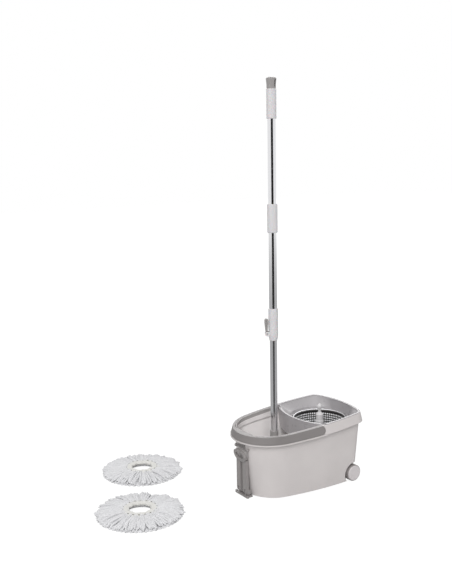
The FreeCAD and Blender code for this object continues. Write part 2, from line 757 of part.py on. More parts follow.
def spin_basket():
    """A pressed steel basket: floor, sloping corner, tapered wall and rolled rim."""
    floor = S.basket_floor
    floor_r = S.basket_floor_radius
    sheet = S.basket_sheet
    top_r = S.basket_rim_radius
    wall = turned("basket_pressing", [
        (S.bush_radius + 0.5, floor), (floor_r, floor), (floor_r + 6, floor + 6),
        (top_r, S.basket_top), (top_r - sheet, S.basket_top), (floor_r + 6 - sheet, floor + 6.5),
        (floor_r - 0.5, floor + sheet), (S.bush_radius + 0.5, floor + sheet)])
    bead = DOC.addObject("Part::Torus", "basket_bead")
    bind(bead, "Radius1", top_r)
    bind(bead, "Radius2", S.basket_bead)
    place(bead, 0, 0, S.basket_top)
    keep(fused("spin_basket", [wall, bead]), "spin_basket")


def basket_carrier():
    foot = S.pedestal_top + S.washer + 0.2
    bush = S.bush_radius
    keep(turned("basket_carrier", [
        (bush, foot), (30, foot), (34, foot + 4), (34, S.basket_floor), (bush, S.basket_floor)]),
        "basket_carrier")
    keep(turned("carrier_bush", [
        (S.spindle_radius + 0.05, foot), (bush, foot), (bush, S.basket_floor),
        (S.spindle_radius + 0.05, S.basket_floor)]), "carrier_bush")


def centre_post():
    """The post that the mop plate fits over: fluted skirt, shouldered body, neck and oval knob."""
    foot = S.post_foot
    bore = S.spindle_radius + 1.2
    post = turned("post_turned", [
        (bore, foot), (31, foot), (31, foot + 3), (22, foot + 3), (19, foot + 8), (14.2, foot + 30),
        (13.6, foot + 67), (12.2, foot + 69), (12.2, foot + 88), (6.5, foot + 94.5), (4.4, foot + 96),
        (4.4, foot + 108), (0, foot + 108), (0, foot + 26), (bore, foot + 26)])
    knob = DOC.addObject("Part::Ellipsoid", "post_knob")
    knob.Radius1 = 10.3
    knob.Radius2 = 8.3
    knob.Radius3 = 7.3
    place(knob, 0, 0, S.knob_height)
    solid = fused("post_solid", [post, knob])
    flutes = []
    for number in range(12):
        turn = math.radians(30 * number)
        flute = cylinder("flute_%d" % number, 1.6, 34)
        flutes.append(place(flute, 14.6 * math.cos(turn), 14.6 * math.sin(turn), foot + 34))
    keep(cut("centre_post", solid, fused("flutes", flutes)), "centre_post")


def hub_screws():
    """Three screws that clamp post and basket to the carrier, heads on the post's flange."""
    seat = S.post_foot + 3
    screws = []
    for number in range(3):
        turn = math.radians(90 + 120 * number)
        screw = turned("hub_screw_%d" % number, [
            (0, seat), (0, seat + 2.2), (2.8, seat + 2.2), (3.4, seat + 1.5), (3.4, seat)])
        screws.append(place(screw, 26.8 * math.cos(turn), 26.8 * math.sin(turn), 0))
    keep(group("hub_screws", screws), "hub_screws")


# ---------------------------------------------------------------- mop

def on_pole(thing, label):
    """Stands a turned piece on the pole's axis and keeps it."""
    return keep(place(thing, S.pole_x), label)


def head_plate():
    """The round plate that a mop head clips on, with the well of its screw from below."""
    foot = S.plate_bottom
    radius = S.plate_radius
    on_pole(turned("head_plate", [
        (2.6, foot + 5), (5.4, foot + 5), (5.4, foot), (radius - 5, foot), (radius, foot + 3),
        (radius, foot + 7), (42, foot + 12), (40, foot + 10), (22, foot + 12), (18, foot + 16),
        (2.6, foot + 16)]), "head_plate")


def yoke():
    """The swivel's fork: a disc with two ears, the screw below it and the pin across it."""
    foot = S.plate_bottom + 16
    pin_z = S.swivel_height
    parts = [place(cylinder("yoke_disc", 17, 5), S.pole_x, 0, foot)]
    for side in (-1, 1):
        near = 9.5 if side > 0 else -14.5
        span = (S.pole_x + near, S.pole_x + near + 5)
        number = side + 1
        parts.append(block("yoke_ear_%d" % number, span, (-9, 9), (foot + 4, pin_z)))
        eye = cylinder("yoke_eye_%d" % number, 9, 5)
        parts.append(place(eye, span[0], 0, pin_z, V(0, 1, 0), 90))
    solid = fused("yoke_solid", parts)
    pin_bore = place(cylinder("yoke_bore", S.swivel_pin_radius, 40), S.pole_x - 20, 0, pin_z, V(0, 1, 0), 90)
    screw_bore = place(cylinder("yoke_screw_bore", 2.5, 5), S.pole_x, 0, foot - 1)
    keep(cut("swivel_yoke", cut("yoke_bored", solid, pin_bore), screw_bore), "swivel_yoke")
    seat = S.plate_bottom + 5
    on_pole(turned("yoke_screw", [
        (0, seat - 2.6), (5, seat - 2.6), (5, seat), (2.5, seat), (2.5, foot + 4), (0, foot + 4)]),
        "yoke_screw")
    pin = cylinder("swivel_pin", S.swivel_pin_radius, 29)
    keep(place(pin, S.pole_x - 14.5, 0, pin_z, V(0, 1, 0), 90), "swivel_pin")


def swivel_socket():
    """The grey socket on the pole's foot: an eye on the pin, a stem and the cup of the tube."""
    pin_z = S.swivel_height
    radius = S.socket_radius
    stem = turned("socket_turned", [
        (0, pin_z + 13), (8, pin_z + 13), (radius, pin_z + 26), (radius, S.socket_top - 1.5),
        (radius - 1.2, S.socket_top), (S.slim_radius, S.socket_top), (S.slim_radius, S.slim_foot),
        (0, S.slim_foot)])
    place(stem, S.pole_x)
    neck = block("socket_neck", (S.pole_x - 9, S.pole_x + 9), (-8, 8), (pin_z, pin_z + 18))
    eye = place(cylinder("socket_eye", 8.5, 18), S.pole_x - 9, 0, pin_z, V(0, 1, 0), 90)
    bore = place(cylinder("socket_bore", S.swivel_pin_radius + 0.05, 40), S.pole_x - 20, 0, pin_z,
                 V(0, 1, 0), 90)
    keep(cut("swivel_socket", fused("socket_solid", [stem, neck, eye]), bore), "swivel_socket")


def tube(label, radius, foot, top):
    """A thin-walled tube on the pole's axis."""
    bore = radius - S.tube_wall
    on_pole(turned(label, [(bore, foot), (radius, foot), (radius, top), (bore, top)]), label)


def drive_parts():
    """Nut housing and drive nut on the slim tube; twisted bar and its anchor in the pole."""
    plug = S.slim_radius - S.tube_wall
    top = S.slim_top
    nut = S.nut_height
    inside = S.pole_radius - S.tube_wall
    on_pole(turned("nut_housing", [
        (7.2, top - 15), (plug, top - 15), (plug, top), (inside - 0.3, top), (inside - 0.3, top + 12),
        (7.2, top + 12), (7.2, nut + 2), (9.7, nut + 2), (9.7, nut - 2), (7.2, nut - 2)]), "nut_housing")
    disc = place(cylinder("nut_disc", 9.6, 3.6), S.pole_x, 0, nut - 1.8)
    half_length = S.bar_width / 2 + 0.4
    half_gap = S.bar_thick / 2 + 0.9
    slot = block("nut_slot", (S.pole_x - half_length, S.pole_x + half_length), (-half_gap, half_gap),
                 (nut - 3, nut + 3))
    keep(cut("drive_nut", disc, slot), "drive_nut")
    shaped("twisted_bar", twisted_strip())
    on_pole(turned("bar_anchor", [
        (2.5, S.anchor_bottom), (inside, S.anchor_bottom), (inside, S.anchor_bottom + 12),
        (2.5, S.anchor_bottom + 12)]), "bar_anchor")


def twisted_strip():
    """A flat strip swept up the pole's axis as it turns, right-handed, flat in the nut's slot."""
    foot = float(S.bar_bottom)
    length = float(S.anchor_bottom) - foot
    pitch = float(S.bar_pitch)
    half_width = float(S.bar_width) / 2
    half_thick = float(S.bar_thick) / 2
    start = V(float(S.pole_x), 0, foot)
    turn = -2 * math.pi * (float(S.nut_height) - foot) / pitch

    def corner(x, y):
        return start + V(x * math.cos(turn) - y * math.sin(turn), x * math.sin(turn) + y * math.cos(turn), 0)

    spine = Part.Wire(Part.makeLine(start, start + V(0, 0, length)))
    guide = Part.Wire(Part.makeHelix(pitch, length, half_width).Edges)
    guide.Placement = FreeCAD.Placement(start, FreeCAD.Rotation(V(0, 0, 1), math.degrees(turn)))
    corners = [corner(-half_width, -half_thick), corner(half_width, -half_thick),
               corner(half_width, half_thick), corner(-half_width, half_thick)]
    sweep = Part.BRepOffsetAPI.MakePipeShell(spine)
    sweep.setAuxiliarySpine(guide, True, 0)
    sweep.add(Part.makePolygon(corners + corners[:1]))
    sweep.build()
    sweep.makeSolid()
    tang = Part.makeCylinder(2.5, 10, start + V(0, 0, length))
    return sweep.shape().fuse(tang)


def lock_collar():
    """The white clamp collar with a window behind the lever and two ears for its pin."""
    bottom, top = S.collar_bottom, S.collar_top
    radius = S.collar_radius
    sleeve = turned("collar_sleeve", [
        (S.slim_radius + 0.3, bottom), (radius - 2.3, bottom), (radius, bottom + 15.5), (radius, top - 1.5),
        (radius - 1, top), (S.pole_radius, top), (S.pole_radius, S.middle_foot),
        (S.slim_radius + 0.3, S.middle_foot)])
    pivot_x, pivot_z = S.lever_reach, S.lever_height
    parts = [sleeve]
    for side in (-1, 1):
        near, end = sorted((5.6 * side, 9.1 * side))
        number = side + 1
        parts.append(lying("collar_ear_%d" % number, 7, near, end, pivot_x, pivot_z))
        parts.append(block("collar_web_%d" % number, (12, pivot_x), (near, end),
                           (pivot_z - 7, pivot_z + 7)))
    solid = fused("collar_solid", parts)
    window = block("collar_window", (0, radius + 3), (-5.6, 5.6), (pivot_z - 7.5, pivot_z + 7.5))
    pin_bore = lying("collar_pin_bore", 2, -20, 20, pivot_x, pivot_z)
    collar = cut("collar_bored", cut("collar_open", solid, window), pin_bore)
    on_lever_side(collar, "lock_collar")


def on_lever_side(thing, label):
    """Turns a piece made along +X to the lever's bearing, on the pole's axis."""
    place(thing, S.pole_x, 0, 0, V(0, 0, 1), SIZES["lever_bearing"])
    return keep(thing, label)


def lever_parts():
    """The lock lever, a grooved leaf with a cam eye, its pin, and the shoe that presses on the slim tube."""
    pivot_x, pivot_z = S.lever_reach, S.lever_height
    tip_radius = 5.8
    tip_z = S.lever_top - tip_radius
    inner = S.collar_radius + 1
    outer = inner + 2 * tip_radius
    leaf = padded("lever_leaf", "XZ_Plane", 14, lambda sketch: polygon(sketch, [
        (inner + 2, pivot_z + 9.5), (inner, tip_z - 9), (inner, tip_z), (outer, tip_z), (outer, tip_z - 9),
        (outer - 2.5, pivot_z + 9.5)]))
    place(leaf, 0, 7, 0)
    tip = lying("lever_tip", tip_radius, -7, 7, inner + tip_radius, tip_z)
    eye = lying("lever_eye", tip_radius, -5.2, 5.2, pivot_x, pivot_z)
    arm = block("lever_arm", (inner + 2, outer - 3.5), (-5.2, 5.2), (pivot_z, pivot_z + 12))
    solid = fused("lever_solid", [leaf, tip, eye, arm])
    openings = [lying("lever_bore", 2.05, -20, 20, pivot_x, pivot_z)]
    for side in (-1, 1):
        near, end = sorted((6.2 * side, 8 * side))
        openings.append(block("lever_groove_%d" % (side + 1), (inner + 4.4, inner + 6.8), (near, end),
                              (pivot_z + 14, tip_z)))
    on_lever_side(cut("lever_bored", solid, fused("lever_openings", openings)), "lock_lever")
    on_lever_side(lying("lever_pin_rod", 2, -9.1, 9.1, pivot_x, pivot_z), "lever_pin")
    shoe = block("shoe_block", (8, pivot_x - tip_radius - 0.4), (-5, 5), (pivot_z - 6.5, pivot_z + 6.5))
    round_face = cylinder("shoe_face", S.slim_radius + 0.35, 60)
    place(round_face, 0, 0, S.collar_bottom - 20)
    on_lever_side(cut("shoe_cut", shoe, round_face), "clamp_shoe")


def connector_and_grip():
    """The sleeve that joins the two chromed lengths, and the hand grip on top."""
    pole = S.pole_radius
    bottom, top, radius = S.connector_bottom, S.connector_top, S.connector_radius
    on_pole(turned("tube_connector", [
        (pole, bottom), (radius - 1.2, bottom), (radius, bottom + 1.5), (radius, top - 1.5),
        (radius - 1.2, top), (pole, top)]), "tube_connector")
    bottom, top, radius = S.grip_bottom, S.grip_top, S.grip_radius
    on_pole(turned("grip_sleeve", [
        (pole, bottom), (radius - 1, bottom), (radius, bottom + 1.2), (radius, top - 1), (radius - 1, top),
        (9, top), (9, top - 9), (pole, top - 9)]), "grip_sleeve")


def end_cap():
    """The cap: a plug into the grip, a body that widens to a low dome, and a hanging slot through it."""
    foot = S.grip_top
    radius = S.cap_radius
    foot_radius = S.cap_foot_radius
    dome_foot = S.cap_top - S.cap_dome
    body = turned("cap_body", [
        (0, foot - 8), (9, foot - 8), (9, foot), (foot_radius, foot), (foot_radius, foot + 11),
        (radius, dome_foot), (0, dome_foot)])
    dome = DOC.addObject("Part::Ellipsoid", "cap_dome_top")
    bind(dome, "Radius1", S.cap_dome)
    bind(dome, "Radius2", radius)
    bind(dome, "Radius3", radius)
    place(dome, 0, 0, dome_foot)
    low, high = foot + 8, foot + 23
    slot_parts = [block("cap_slot_middle", (-4, 4), (-30, 30), (low, high))]
    for name, height in (("low", low), ("high", high)):
        slot_parts.append(lying("cap_slot_" + name, 4, -30, 30, 0, height))
    cap = cut("cap_slotted", fused("cap_solid", [body, dome]), fused("cap_slot", slot_parts))
    place(cap, S.pole_x, 0, 0, V(0, 0, 1), SIZES["cap_slot_turn"])
    keep(cap, "end_cap")


# ---------------------------------------------------------------- spare heads

def wavy_hole(radius, depth, lobes, height):
    """A prism whose outline swells in lobes, as the cut-out in the middle of a mop head."""
    count = lobes * 6
    points = []
    for number in range(count):
        turn = 2 * math.pi * number / count
        reach = radius + depth * math.cos(lobes * turn)
        points.append(V(reach * math.cos(turn), reach * math.sin(turn), 0))
    curve = Part.BSplineCurve()
    curve.interpolate(points, PeriodicFlag=True)
    return Part.Face(Part.Wire(curve.toShape())).extrude(V(0, 0, height))


def spare_head(letter, x, y):
    """One spare head: the plain fibre skirt, and the stitched holder with its wavy hole on top."""
    foot = S.head_ring_foot
    radius = S.head_radius
    ring_radius = S.head_ring_radius
    hole = S.head_hole_radius
    skirt = turned("head_fibre_" + letter, [
        (hole + 6, 0), (radius - 7, 0), (radius, 6), (radius - 3, 12), (radius - 30, 19),
        (ring_radius + 1, 23), (ring_radius + 1, foot - 0.3), (hole + 6, foot - 0.3)])
    keep(place(skirt, x, y), "head_fibre_" + letter)
    height = float(S.head_ring_height)
    holder = Part.makeCylinder(float(ring_radius), height)
    opening = wavy_hole(float(hole), 3.2, 8, height)
    holder = holder.cut(opening)
    thing = shaped("head_ring_" + letter, holder)
    place(thing, x, y, foot)


# ---------------------------------------------------------------- build and write

def build():
    bucket_shell()
    base_pads()
    bail_handle()
    bail_pins()
    tow_bar()
    tow_foot()
    tow_pin()
    tow_catch()
    tow_pegs()
    wheels()
    wringer_tray()
    basket_pedestal()
    pedestal_screws()
    spindle()
    spin_basket()
    basket_carrier()
    centre_post()
    hub_screws()
    head_plate()
    yoke()
    swivel_socket()
    tube("lower_tube", S.slim_radius, S.slim_foot, S.slim_top)
    drive_parts()
    lock_collar()
    lever_parts()
    tube("middle_tube", S.pole_radius, S.middle_foot, S.middle_top)
    connector_and_grip()
    tube("upper_tube", S.pole_radius, S.middle_top + 2, S.grip_top - 9)
    end_cap()
    spare_head("a", S.head_a_x, S.head_a_y)
    spare_head("b", S.head_b_x, S.head_b_y)


def write():
    """Checks every object and writes each sub-part."""
    DOC.recompute()
    for thing in DOC.Objects:
        if "Invalid" in thing.State or "Error" in thing.State:
            raise RuntimeError("%s did not compute" % thing.Name)
    os.makedirs("parts", exist_ok=True)
    for node in NODES:
        shape = node.Shape
        if shape.isNull() or not shape.isValid() or not shape.Solids:
            raise RuntimeError("%s is not a valid solid" % node.Label)
        shape.exportStep(os.path.join("parts", node.Label + ".step"))
        print("%-20s solids %d  volume %.0f" % (node.Label, len(shape.Solids), shape.Volume))


build()
write()
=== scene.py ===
"""Looks of a spin mop standing in its wheeled wringer bucket, with two spare microfibre heads."""
import logging
import math
from dataclasses import dataclass, field
from enum import Enum
from typing import Any, Callable

import bmesh
import bpy
from mathutils import Matrix, Vector


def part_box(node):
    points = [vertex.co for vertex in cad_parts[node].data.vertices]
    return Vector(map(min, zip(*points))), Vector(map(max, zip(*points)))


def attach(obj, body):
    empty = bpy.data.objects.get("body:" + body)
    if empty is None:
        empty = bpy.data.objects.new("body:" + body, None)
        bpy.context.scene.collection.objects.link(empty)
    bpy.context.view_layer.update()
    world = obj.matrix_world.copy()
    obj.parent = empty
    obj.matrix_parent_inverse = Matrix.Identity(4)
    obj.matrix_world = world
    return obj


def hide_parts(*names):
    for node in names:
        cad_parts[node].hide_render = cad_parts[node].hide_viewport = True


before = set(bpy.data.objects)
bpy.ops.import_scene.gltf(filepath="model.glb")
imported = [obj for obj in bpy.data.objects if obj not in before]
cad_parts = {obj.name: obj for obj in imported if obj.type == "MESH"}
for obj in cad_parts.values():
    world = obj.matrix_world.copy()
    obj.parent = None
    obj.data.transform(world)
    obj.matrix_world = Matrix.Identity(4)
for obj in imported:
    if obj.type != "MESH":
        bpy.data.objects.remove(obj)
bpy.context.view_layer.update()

LOG = logging.getLogger("spin_mop")
MM = 0.001  # one millimetre in the scene's metres
TURN = 2 * math.pi
Row = tuple[float, float]


# ---------------------------------------------------------------- colour and node helpers

def linear(code: str) -> tuple[float, float, float, float]:
    """Turns an sRGB hex colour into the linear RGBA that shader sockets take.

    Args:
        code: six hex digits, with or without a leading hash.

    Returns:
        Linear red, green, blue and an alpha of 1.
    """
    digits = code.lstrip("#")
    parts = [int(digits[place:place + 2], 16) / 255 for place in (0, 2, 4)]
    red, green, blue = [part / 12.92 if part <= 0.04045 else ((part + 0.055) / 1.055) ** 2.4
                        for part in parts]
    return (red, green, blue, 1.0)


def add(tree: bpy.types.NodeTree, kind: str, values: dict | None = None, links: dict | None = None,
        **settings: Any) -> bpy.types.Node:
    """Adds a node with its settings, socket values and incoming links.

    Args:
        tree: the tree that gets the node.
        kind: the node's type name.
        values: input socket, by name or index, to its constant.
        links: input socket, by name or index, to the output socket that feeds it.
        settings: the node's own properties.

    Returns:
        The new node.
    """
    node = tree.nodes.new(kind)
    for name, value in settings.items():
        setattr(node, name, value)
    for socket, value in (values or {}).items():
        node.inputs[socket].default_value = value
    for socket, source in (links or {}).items():
        tree.links.new(source, node.inputs[socket])
    return node


def empty_material(name: str) -> tuple[bpy.types.Material, bpy.types.NodeTree]:
    """Makes a material with a bare node tree."""
    material = bpy.data.materials.new(name)
    material.use_nodes = True
    material.node_tree.nodes.clear()
    return material, material.node_tree


def finish_surface(tree: bpy.types.NodeTree, shader: bpy.types.NodeSocket) -> None:
    """Feeds a shader to the material's output."""
    add(tree, "ShaderNodeOutputMaterial", links={"Surface": shader})


def per_metre(millimetres: float) -> float:
    """The texture scale whose features are this many millimetres across in Object coordinates."""
    return 1 / (millimetres * MM)


# ---------------------------------------------------------------- finishes

@dataclass(frozen=True)
class MouldedPlastic:
    """Injection-moulded polypropylene or ABS with a spark-eroded satin skin.

    The eye gets a broad soft highlight, rounded edges that catch light, a skin of fine grain, a
    slow drift of tone from uneven cooling, and faint rub marks where the gloss changes.
    """

    name: str
    colour: str
    roughness: float = 0.42
    grain_mm: float = 0.9
    grain_depth: float = 0.10
    drift: float = 0.05
    edge_mm: float = 0.9
    translucence: float = 0.0

    def base_colour(self, tree: bpy.types.NodeTree, place: bpy.types.NodeSocket) -> bpy.types.NodeSocket:
        """The colour of the moulded skin before its drift of tone."""
        paint = add(tree, "ShaderNodeRGB")
        paint.outputs[0].default_value = linear(self.colour)
        return paint.outputs[0]

    def make(self) -> bpy.types.Material:
        """Builds the material."""
        material, tree = empty_material(self.name)
        place = add(tree, "ShaderNodeTexCoord").outputs["Object"]
        cooling = add(tree, "ShaderNodeTexNoise", {"Scale": per_metre(70), "Detail": 2.0, "Roughness": 0.5},
                      {"Vector": place})
        tone = add(tree, "ShaderNodeMapRange", {"From Min": 0.3, "From Max": 0.7, "To Min": 1 - self.drift,
                                                "To Max": 1.0}, {"Value": cooling.outputs["Fac"]})
        base = add(tree, "ShaderNodeHueSaturation", {},
                   {"Color": self.base_colour(tree, place), "Value": tone.outputs["Result"]})
        rubbing = add(tree, "ShaderNodeTexNoise", {"Scale": per_metre(22), "Detail": 6.0, "Roughness": 0.65},
                      {"Vector": place})
        gloss = add(tree, "ShaderNodeMapRange", {"From Min": 0.35, "From Max": 0.7,
                                                 "To Min": self.roughness - 0.05,
                                                 "To Max": self.roughness + 0.07},
                    {"Value": rubbing.outputs["Fac"]})
        rounding = add(tree, "ShaderNodeBevel", {"Radius": self.edge_mm * MM}, samples=6)
        grain = add(tree, "ShaderNodeTexNoise", {"Scale": per_metre(self.grain_mm), "Detail": 3.0,
                                                 "Roughness": 0.6}, {"Vector": place})
        bump = add(tree, "ShaderNodeBump", {"Strength": self.grain_depth, "Distance": 0.15 * MM},
                   {"Height": grain.outputs["Fac"], "Normal": rounding.outputs["Normal"]})
        surface = add(tree, "ShaderNodeBsdfPrincipled",
                      {"IOR": 1.49, "Subsurface Weight": self.translucence, "Subsurface Scale": 2 * MM},
                      {"Base Color": base.outputs["Color"], "Roughness": gloss.outputs["Result"],
                       "Normal": bump.outputs["Normal"]})
        finish_surface(tree, surface.outputs["BSDF"])
        return material


@dataclass(frozen=True)
class BucketPlastic(MouldedPlastic):
    """Polypropylene of a bucket: thin milky walls that let daylight through.

    The eye gets an inside that is as light as the outside, although less lamp light reaches it, so
    the inner skin is painted paler: painted light for the daylight that the walls let through. The band
    beside the carrying handle takes on the handle's grey.
    """

    # painted light: the paler colour of walls that face the bucket's middle
    inner_painted_light_colour: str = "F8F4F3"
    band_colour: str = "ABA7A6"
    middle: float = -0.1
    rim_height: float = 226.5 * MM
    rim_slope: float = 0.067
    band_depth: float = 12 * MM
    seat_end: float = -82.2 * MM

    def base_colour(self, tree: bpy.types.NodeTree, place: bpy.types.NodeSocket) -> bpy.types.NodeSocket:
        """Picks the paler colour, painted light, where a wall faces the bucket's middle, and the grey of the
        seat's band.
        """
        coordinates = add(tree, "ShaderNodeTexCoord")
        facing = coordinates.outputs["Normal"]
        away = add(tree, "ShaderNodeVectorMath", {1: (self.middle, 0.0, 0.0)}, {0: place},
                   operation="SUBTRACT")
        level = add(tree, "ShaderNodeVectorMath", {1: (1.0, 1.0, 0.0)}, {0: away.outputs["Vector"]},
                    operation="MULTIPLY")
        outward = add(tree, "ShaderNodeVectorMath", {}, {0: level.outputs["Vector"], 1: facing},
                      operation="DOT_PRODUCT")
        inside = add(tree, "ShaderNodeMapRange", {"From Min": -0.01, "From Max": -0.03, "To Min": 0.0,
                                                  "To Max": 1.0}, {"Value": outward.outputs["Value"]})
        # painted light: walls that face the bucket's middle take the paler inner colour
        tone = add(tree, "ShaderNodeMix", {"A": linear(self.colour), "B": linear(self.inner_painted_light_colour)},
                   {"Factor": inside.outputs["Result"]}, data_type="RGBA")
        spot = add(tree, "ShaderNodeSeparateXYZ", links={"Vector": place})
        level_rim = add(tree, "ShaderNodeMath", {1: -self.rim_slope},
                        {0: spot.outputs["X"], 2: spot.outputs["Z"]}, operation="MULTIPLY_ADD")
        foot = self.rim_height - self.band_depth
        high = add(tree, "ShaderNodeMapRange", {"From Min": foot, "From Max": foot + 0.3 * MM},
                   {"Value": level_rim.outputs["Value"]})
        west = add(tree, "ShaderNodeMath", {1: self.seat_end}, {0: spot.outputs["X"]}, operation="LESS_THAN")
        beside = add(tree, "ShaderNodeMath", {}, {0: high.outputs["Result"], 1: west.outputs["Value"]},
                     operation="MULTIPLY")
        lift = add(tree, "ShaderNodeSeparateXYZ", links={"Vector": facing})
        upward = add(tree, "ShaderNodeMath", {1: 0.8}, {0: lift.outputs["Z"]}, operation="GREATER_THAN")
        shown = add(tree, "ShaderNodeMath", {}, {0: upward.outputs["Value"], 1: inside.outputs["Result"]},
                    operation="MAXIMUM")
        band = add(tree, "ShaderNodeMath", {}, {0: beside.outputs["Value"], 1: shown.outputs["Value"]},
                   operation="MULTIPLY")
        both = add(tree, "ShaderNodeMix", {"B": linear(self.band_colour)},
                   {"Factor": band.outputs["Value"], "A": tone.outputs["Result"]}, data_type="RGBA")
        return both.outputs["Result"]


@dataclass(frozen=True)
class ChromedSteel:
    """Thin steel tube, polished and chrome plated.

    The eye gets a mirror drawn out along the tube: the plating follows fine polishing lines, and
    fingerprints and dried drops dull it a little in patches.
    """

    name: str = "chromed_steel_tube"
    colour: str = "E2E2E4"
    roughness: float = 0.10

    def make(self) -> bpy.types.Material:
        """Builds the material."""
        material, tree = empty_material(self.name)
        place = add(tree, "ShaderNodeTexCoord").outputs["Object"]
        drawn = add(tree, "ShaderNodeMapping", {"Scale": (1.0, 1.0, 0.01)}, {"Vector": place})
        lines = add(tree, "ShaderNodeTexNoise", {"Scale": per_metre(0.8), "Detail": 2.0},
                    {"Vector": drawn.outputs["Vector"]})
        prints = add(tree, "ShaderNodeTexNoise", {"Scale": per_metre(28), "Detail": 5.0, "Roughness": 0.7},
                     {"Vector": place})
        gloss = add(tree, "ShaderNodeMapRange", {"From Min": 0.45, "From Max": 0.75,
                                                 "To Min": self.roughness, "To Max": self.roughness + 0.12},
                    {"Value": prints.outputs["Fac"]})
        bump = add(tree, "ShaderNodeBump", {"Strength": 0.02, "Distance": 0.05 * MM},
                   {"Height": lines.outputs["Fac"]})
        surface = add(tree, "ShaderNodeBsdfPrincipled",
                      {"Base Color": linear(self.colour), "Metallic": 1.0},
                      {"Roughness": gloss.outputs["Result"], "Normal": bump.outputs["Normal"]})
        finish_surface(tree, surface.outputs["BSDF"])
        return material


# the turned lips of the punched holes carry a painted highlight: they are drawn near white
PAINTED_LIP_HIGHLIGHT = "hole_lip_painted_highlight"  # the attribute that is 1 on the turned lip of a punched hole


@dataclass(frozen=True)
class StainlessSheet:
    """Stainless sheet, punched, pressed and tumbled bright.

    The eye gets a cloudy metal with rings left by the press, greyer than chrome, and the turned lip
    of each punched hole is drawn pale and not metallic: a painted highlight that makes a pale dot.
    """

    name: str
    colour: str
    roughness: float
    lip_painted_highlight_colour: str = "F6F6F8"

    def make(self) -> bpy.types.Material:
        """Builds the material."""
        material, tree = empty_material(self.name)
        place = add(tree, "ShaderNodeTexCoord").outputs["Object"]
        squashed = add(tree, "ShaderNodeMapping", {"Scale": (0.05, 0.05, 1.0)}, {"Vector": place})
        rings = add(tree, "ShaderNodeTexNoise", {"Scale": per_metre(1.2), "Detail": 3.0},
                    {"Vector": squashed.outputs["Vector"]})
        cloud = add(tree, "ShaderNodeTexNoise", {"Scale": per_metre(9), "Detail": 4.0, "Roughness": 0.6},
                    {"Vector": place})
        gloss = add(tree, "ShaderNodeMapRange", {"From Min": 0.3, "From Max": 0.7,
                                                 "To Min": self.roughness - 0.06,
                                                 "To Max": self.roughness + 0.10},
                    {"Value": cloud.outputs["Fac"]})
        bump = add(tree, "ShaderNodeBump", {"Strength": 0.12, "Distance": 0.08 * MM},
                   {"Height": rings.outputs["Fac"]})
        # painted highlight: the lips of the holes are drawn near white and not metallic
        lip = add(tree, "ShaderNodeAttribute", attribute_name=PAINTED_LIP_HIGHLIGHT)
        tone = add(tree, "ShaderNodeMix", {"A": linear(self.colour), "B": linear(self.lip_painted_highlight_colour)},
                   {"Factor": lip.outputs["Fac"]}, data_type="RGBA")
        solid = add(tree, "ShaderNodeMath", {0: 1.0}, {1: lip.outputs["Fac"]}, operation="SUBTRACT")
        surface = add(tree, "ShaderNodeBsdfPrincipled", {}, {
            "Base Color": tone.outputs["Result"], "Metallic": solid.outputs["Value"],
            "Roughness": gloss.outputs["Result"], "Normal": bump.outputs["Normal"]})
        finish_surface(tree, surface.outputs["BSDF"])
        return material


@dataclass(frozen=True)
class Microfibre:
    """Chenille microfibre yarn: a twisted core with a short dense pile of split fibres.

    The eye gets a soft white that glows at grazing angles, a nubbly pile and grey painted shade in the gaps
    between nubs. The pile is finer than a render can show, so its nubs are drawn about 3 mm across.
    """

    name: str
    colour: str
    pile_mm: float = 3.2
    depth: float = 0.9

    def make(self) -> bpy.types.Material:
        """Builds the material."""
        material, tree = empty_material(self.name)
        place = add(tree, "ShaderNodeTexCoord").outputs["Object"]
        nubs = add(tree, "ShaderNodeTexVoronoi", {"Scale": per_metre(self.pile_mm), "Randomness": 1.0},
                   {"Vector": place}, feature="SMOOTH_F1")
        fuzz = add(tree, "ShaderNodeTexNoise", {"Scale": per_metre(0.7), "Detail": 4.0, "Roughness": 0.7},
                   {"Vector": place})
        height = add(tree, "ShaderNodeMath", {}, {0: fuzz.outputs["Fac"], 1: nubs.outputs["Distance"]},
                     operation="SUBTRACT")
        damp = add(tree, "ShaderNodeTexNoise", {"Scale": per_metre(18), "Detail": 3.0}, {"Vector": place})
        tone = add(tree, "ShaderNodeMapRange", {"From Min": 0.3, "From Max": 0.75, "To Min": 0.94,
                                                "To Max": 1.0}, {"Value": damp.outputs["Fac"]})
        # painted shade: the pile is drawn darker away from each nub's centre, in the gaps between nubs
        shade = add(tree, "ShaderNodeMapRange", {"From Min": 0.1, "From Max": 0.8, "To Min": 1.0,
                                                 "To Max": 0.78}, {"Value": nubs.outputs["Distance"]})
        both = add(tree, "ShaderNodeMath", {}, {0: tone.outputs["Result"], 1: shade.outputs["Result"]},
                   operation="MULTIPLY")
        base = add(tree, "ShaderNodeHueSaturation", {"Color": linear(self.colour)},
                   {"Value": both.outputs["Value"]})
        bump = add(tree, "ShaderNodeBump", {"Strength": self.depth, "Distance": 0.8 * MM},
                   {"Height": height.outputs["Value"]})
        surface = add(tree, "ShaderNodeBsdfPrincipled",
                      {"Roughness": 0.95, "IOR": 1.45, "Sheen Weight": 0.15, "Sheen Roughness": 0.5},
                      {"Base Color": base.outputs["Color"], "Normal": bump.outputs["Normal"]})
        finish_surface(tree, surface.outputs["BSDF"])
        return material


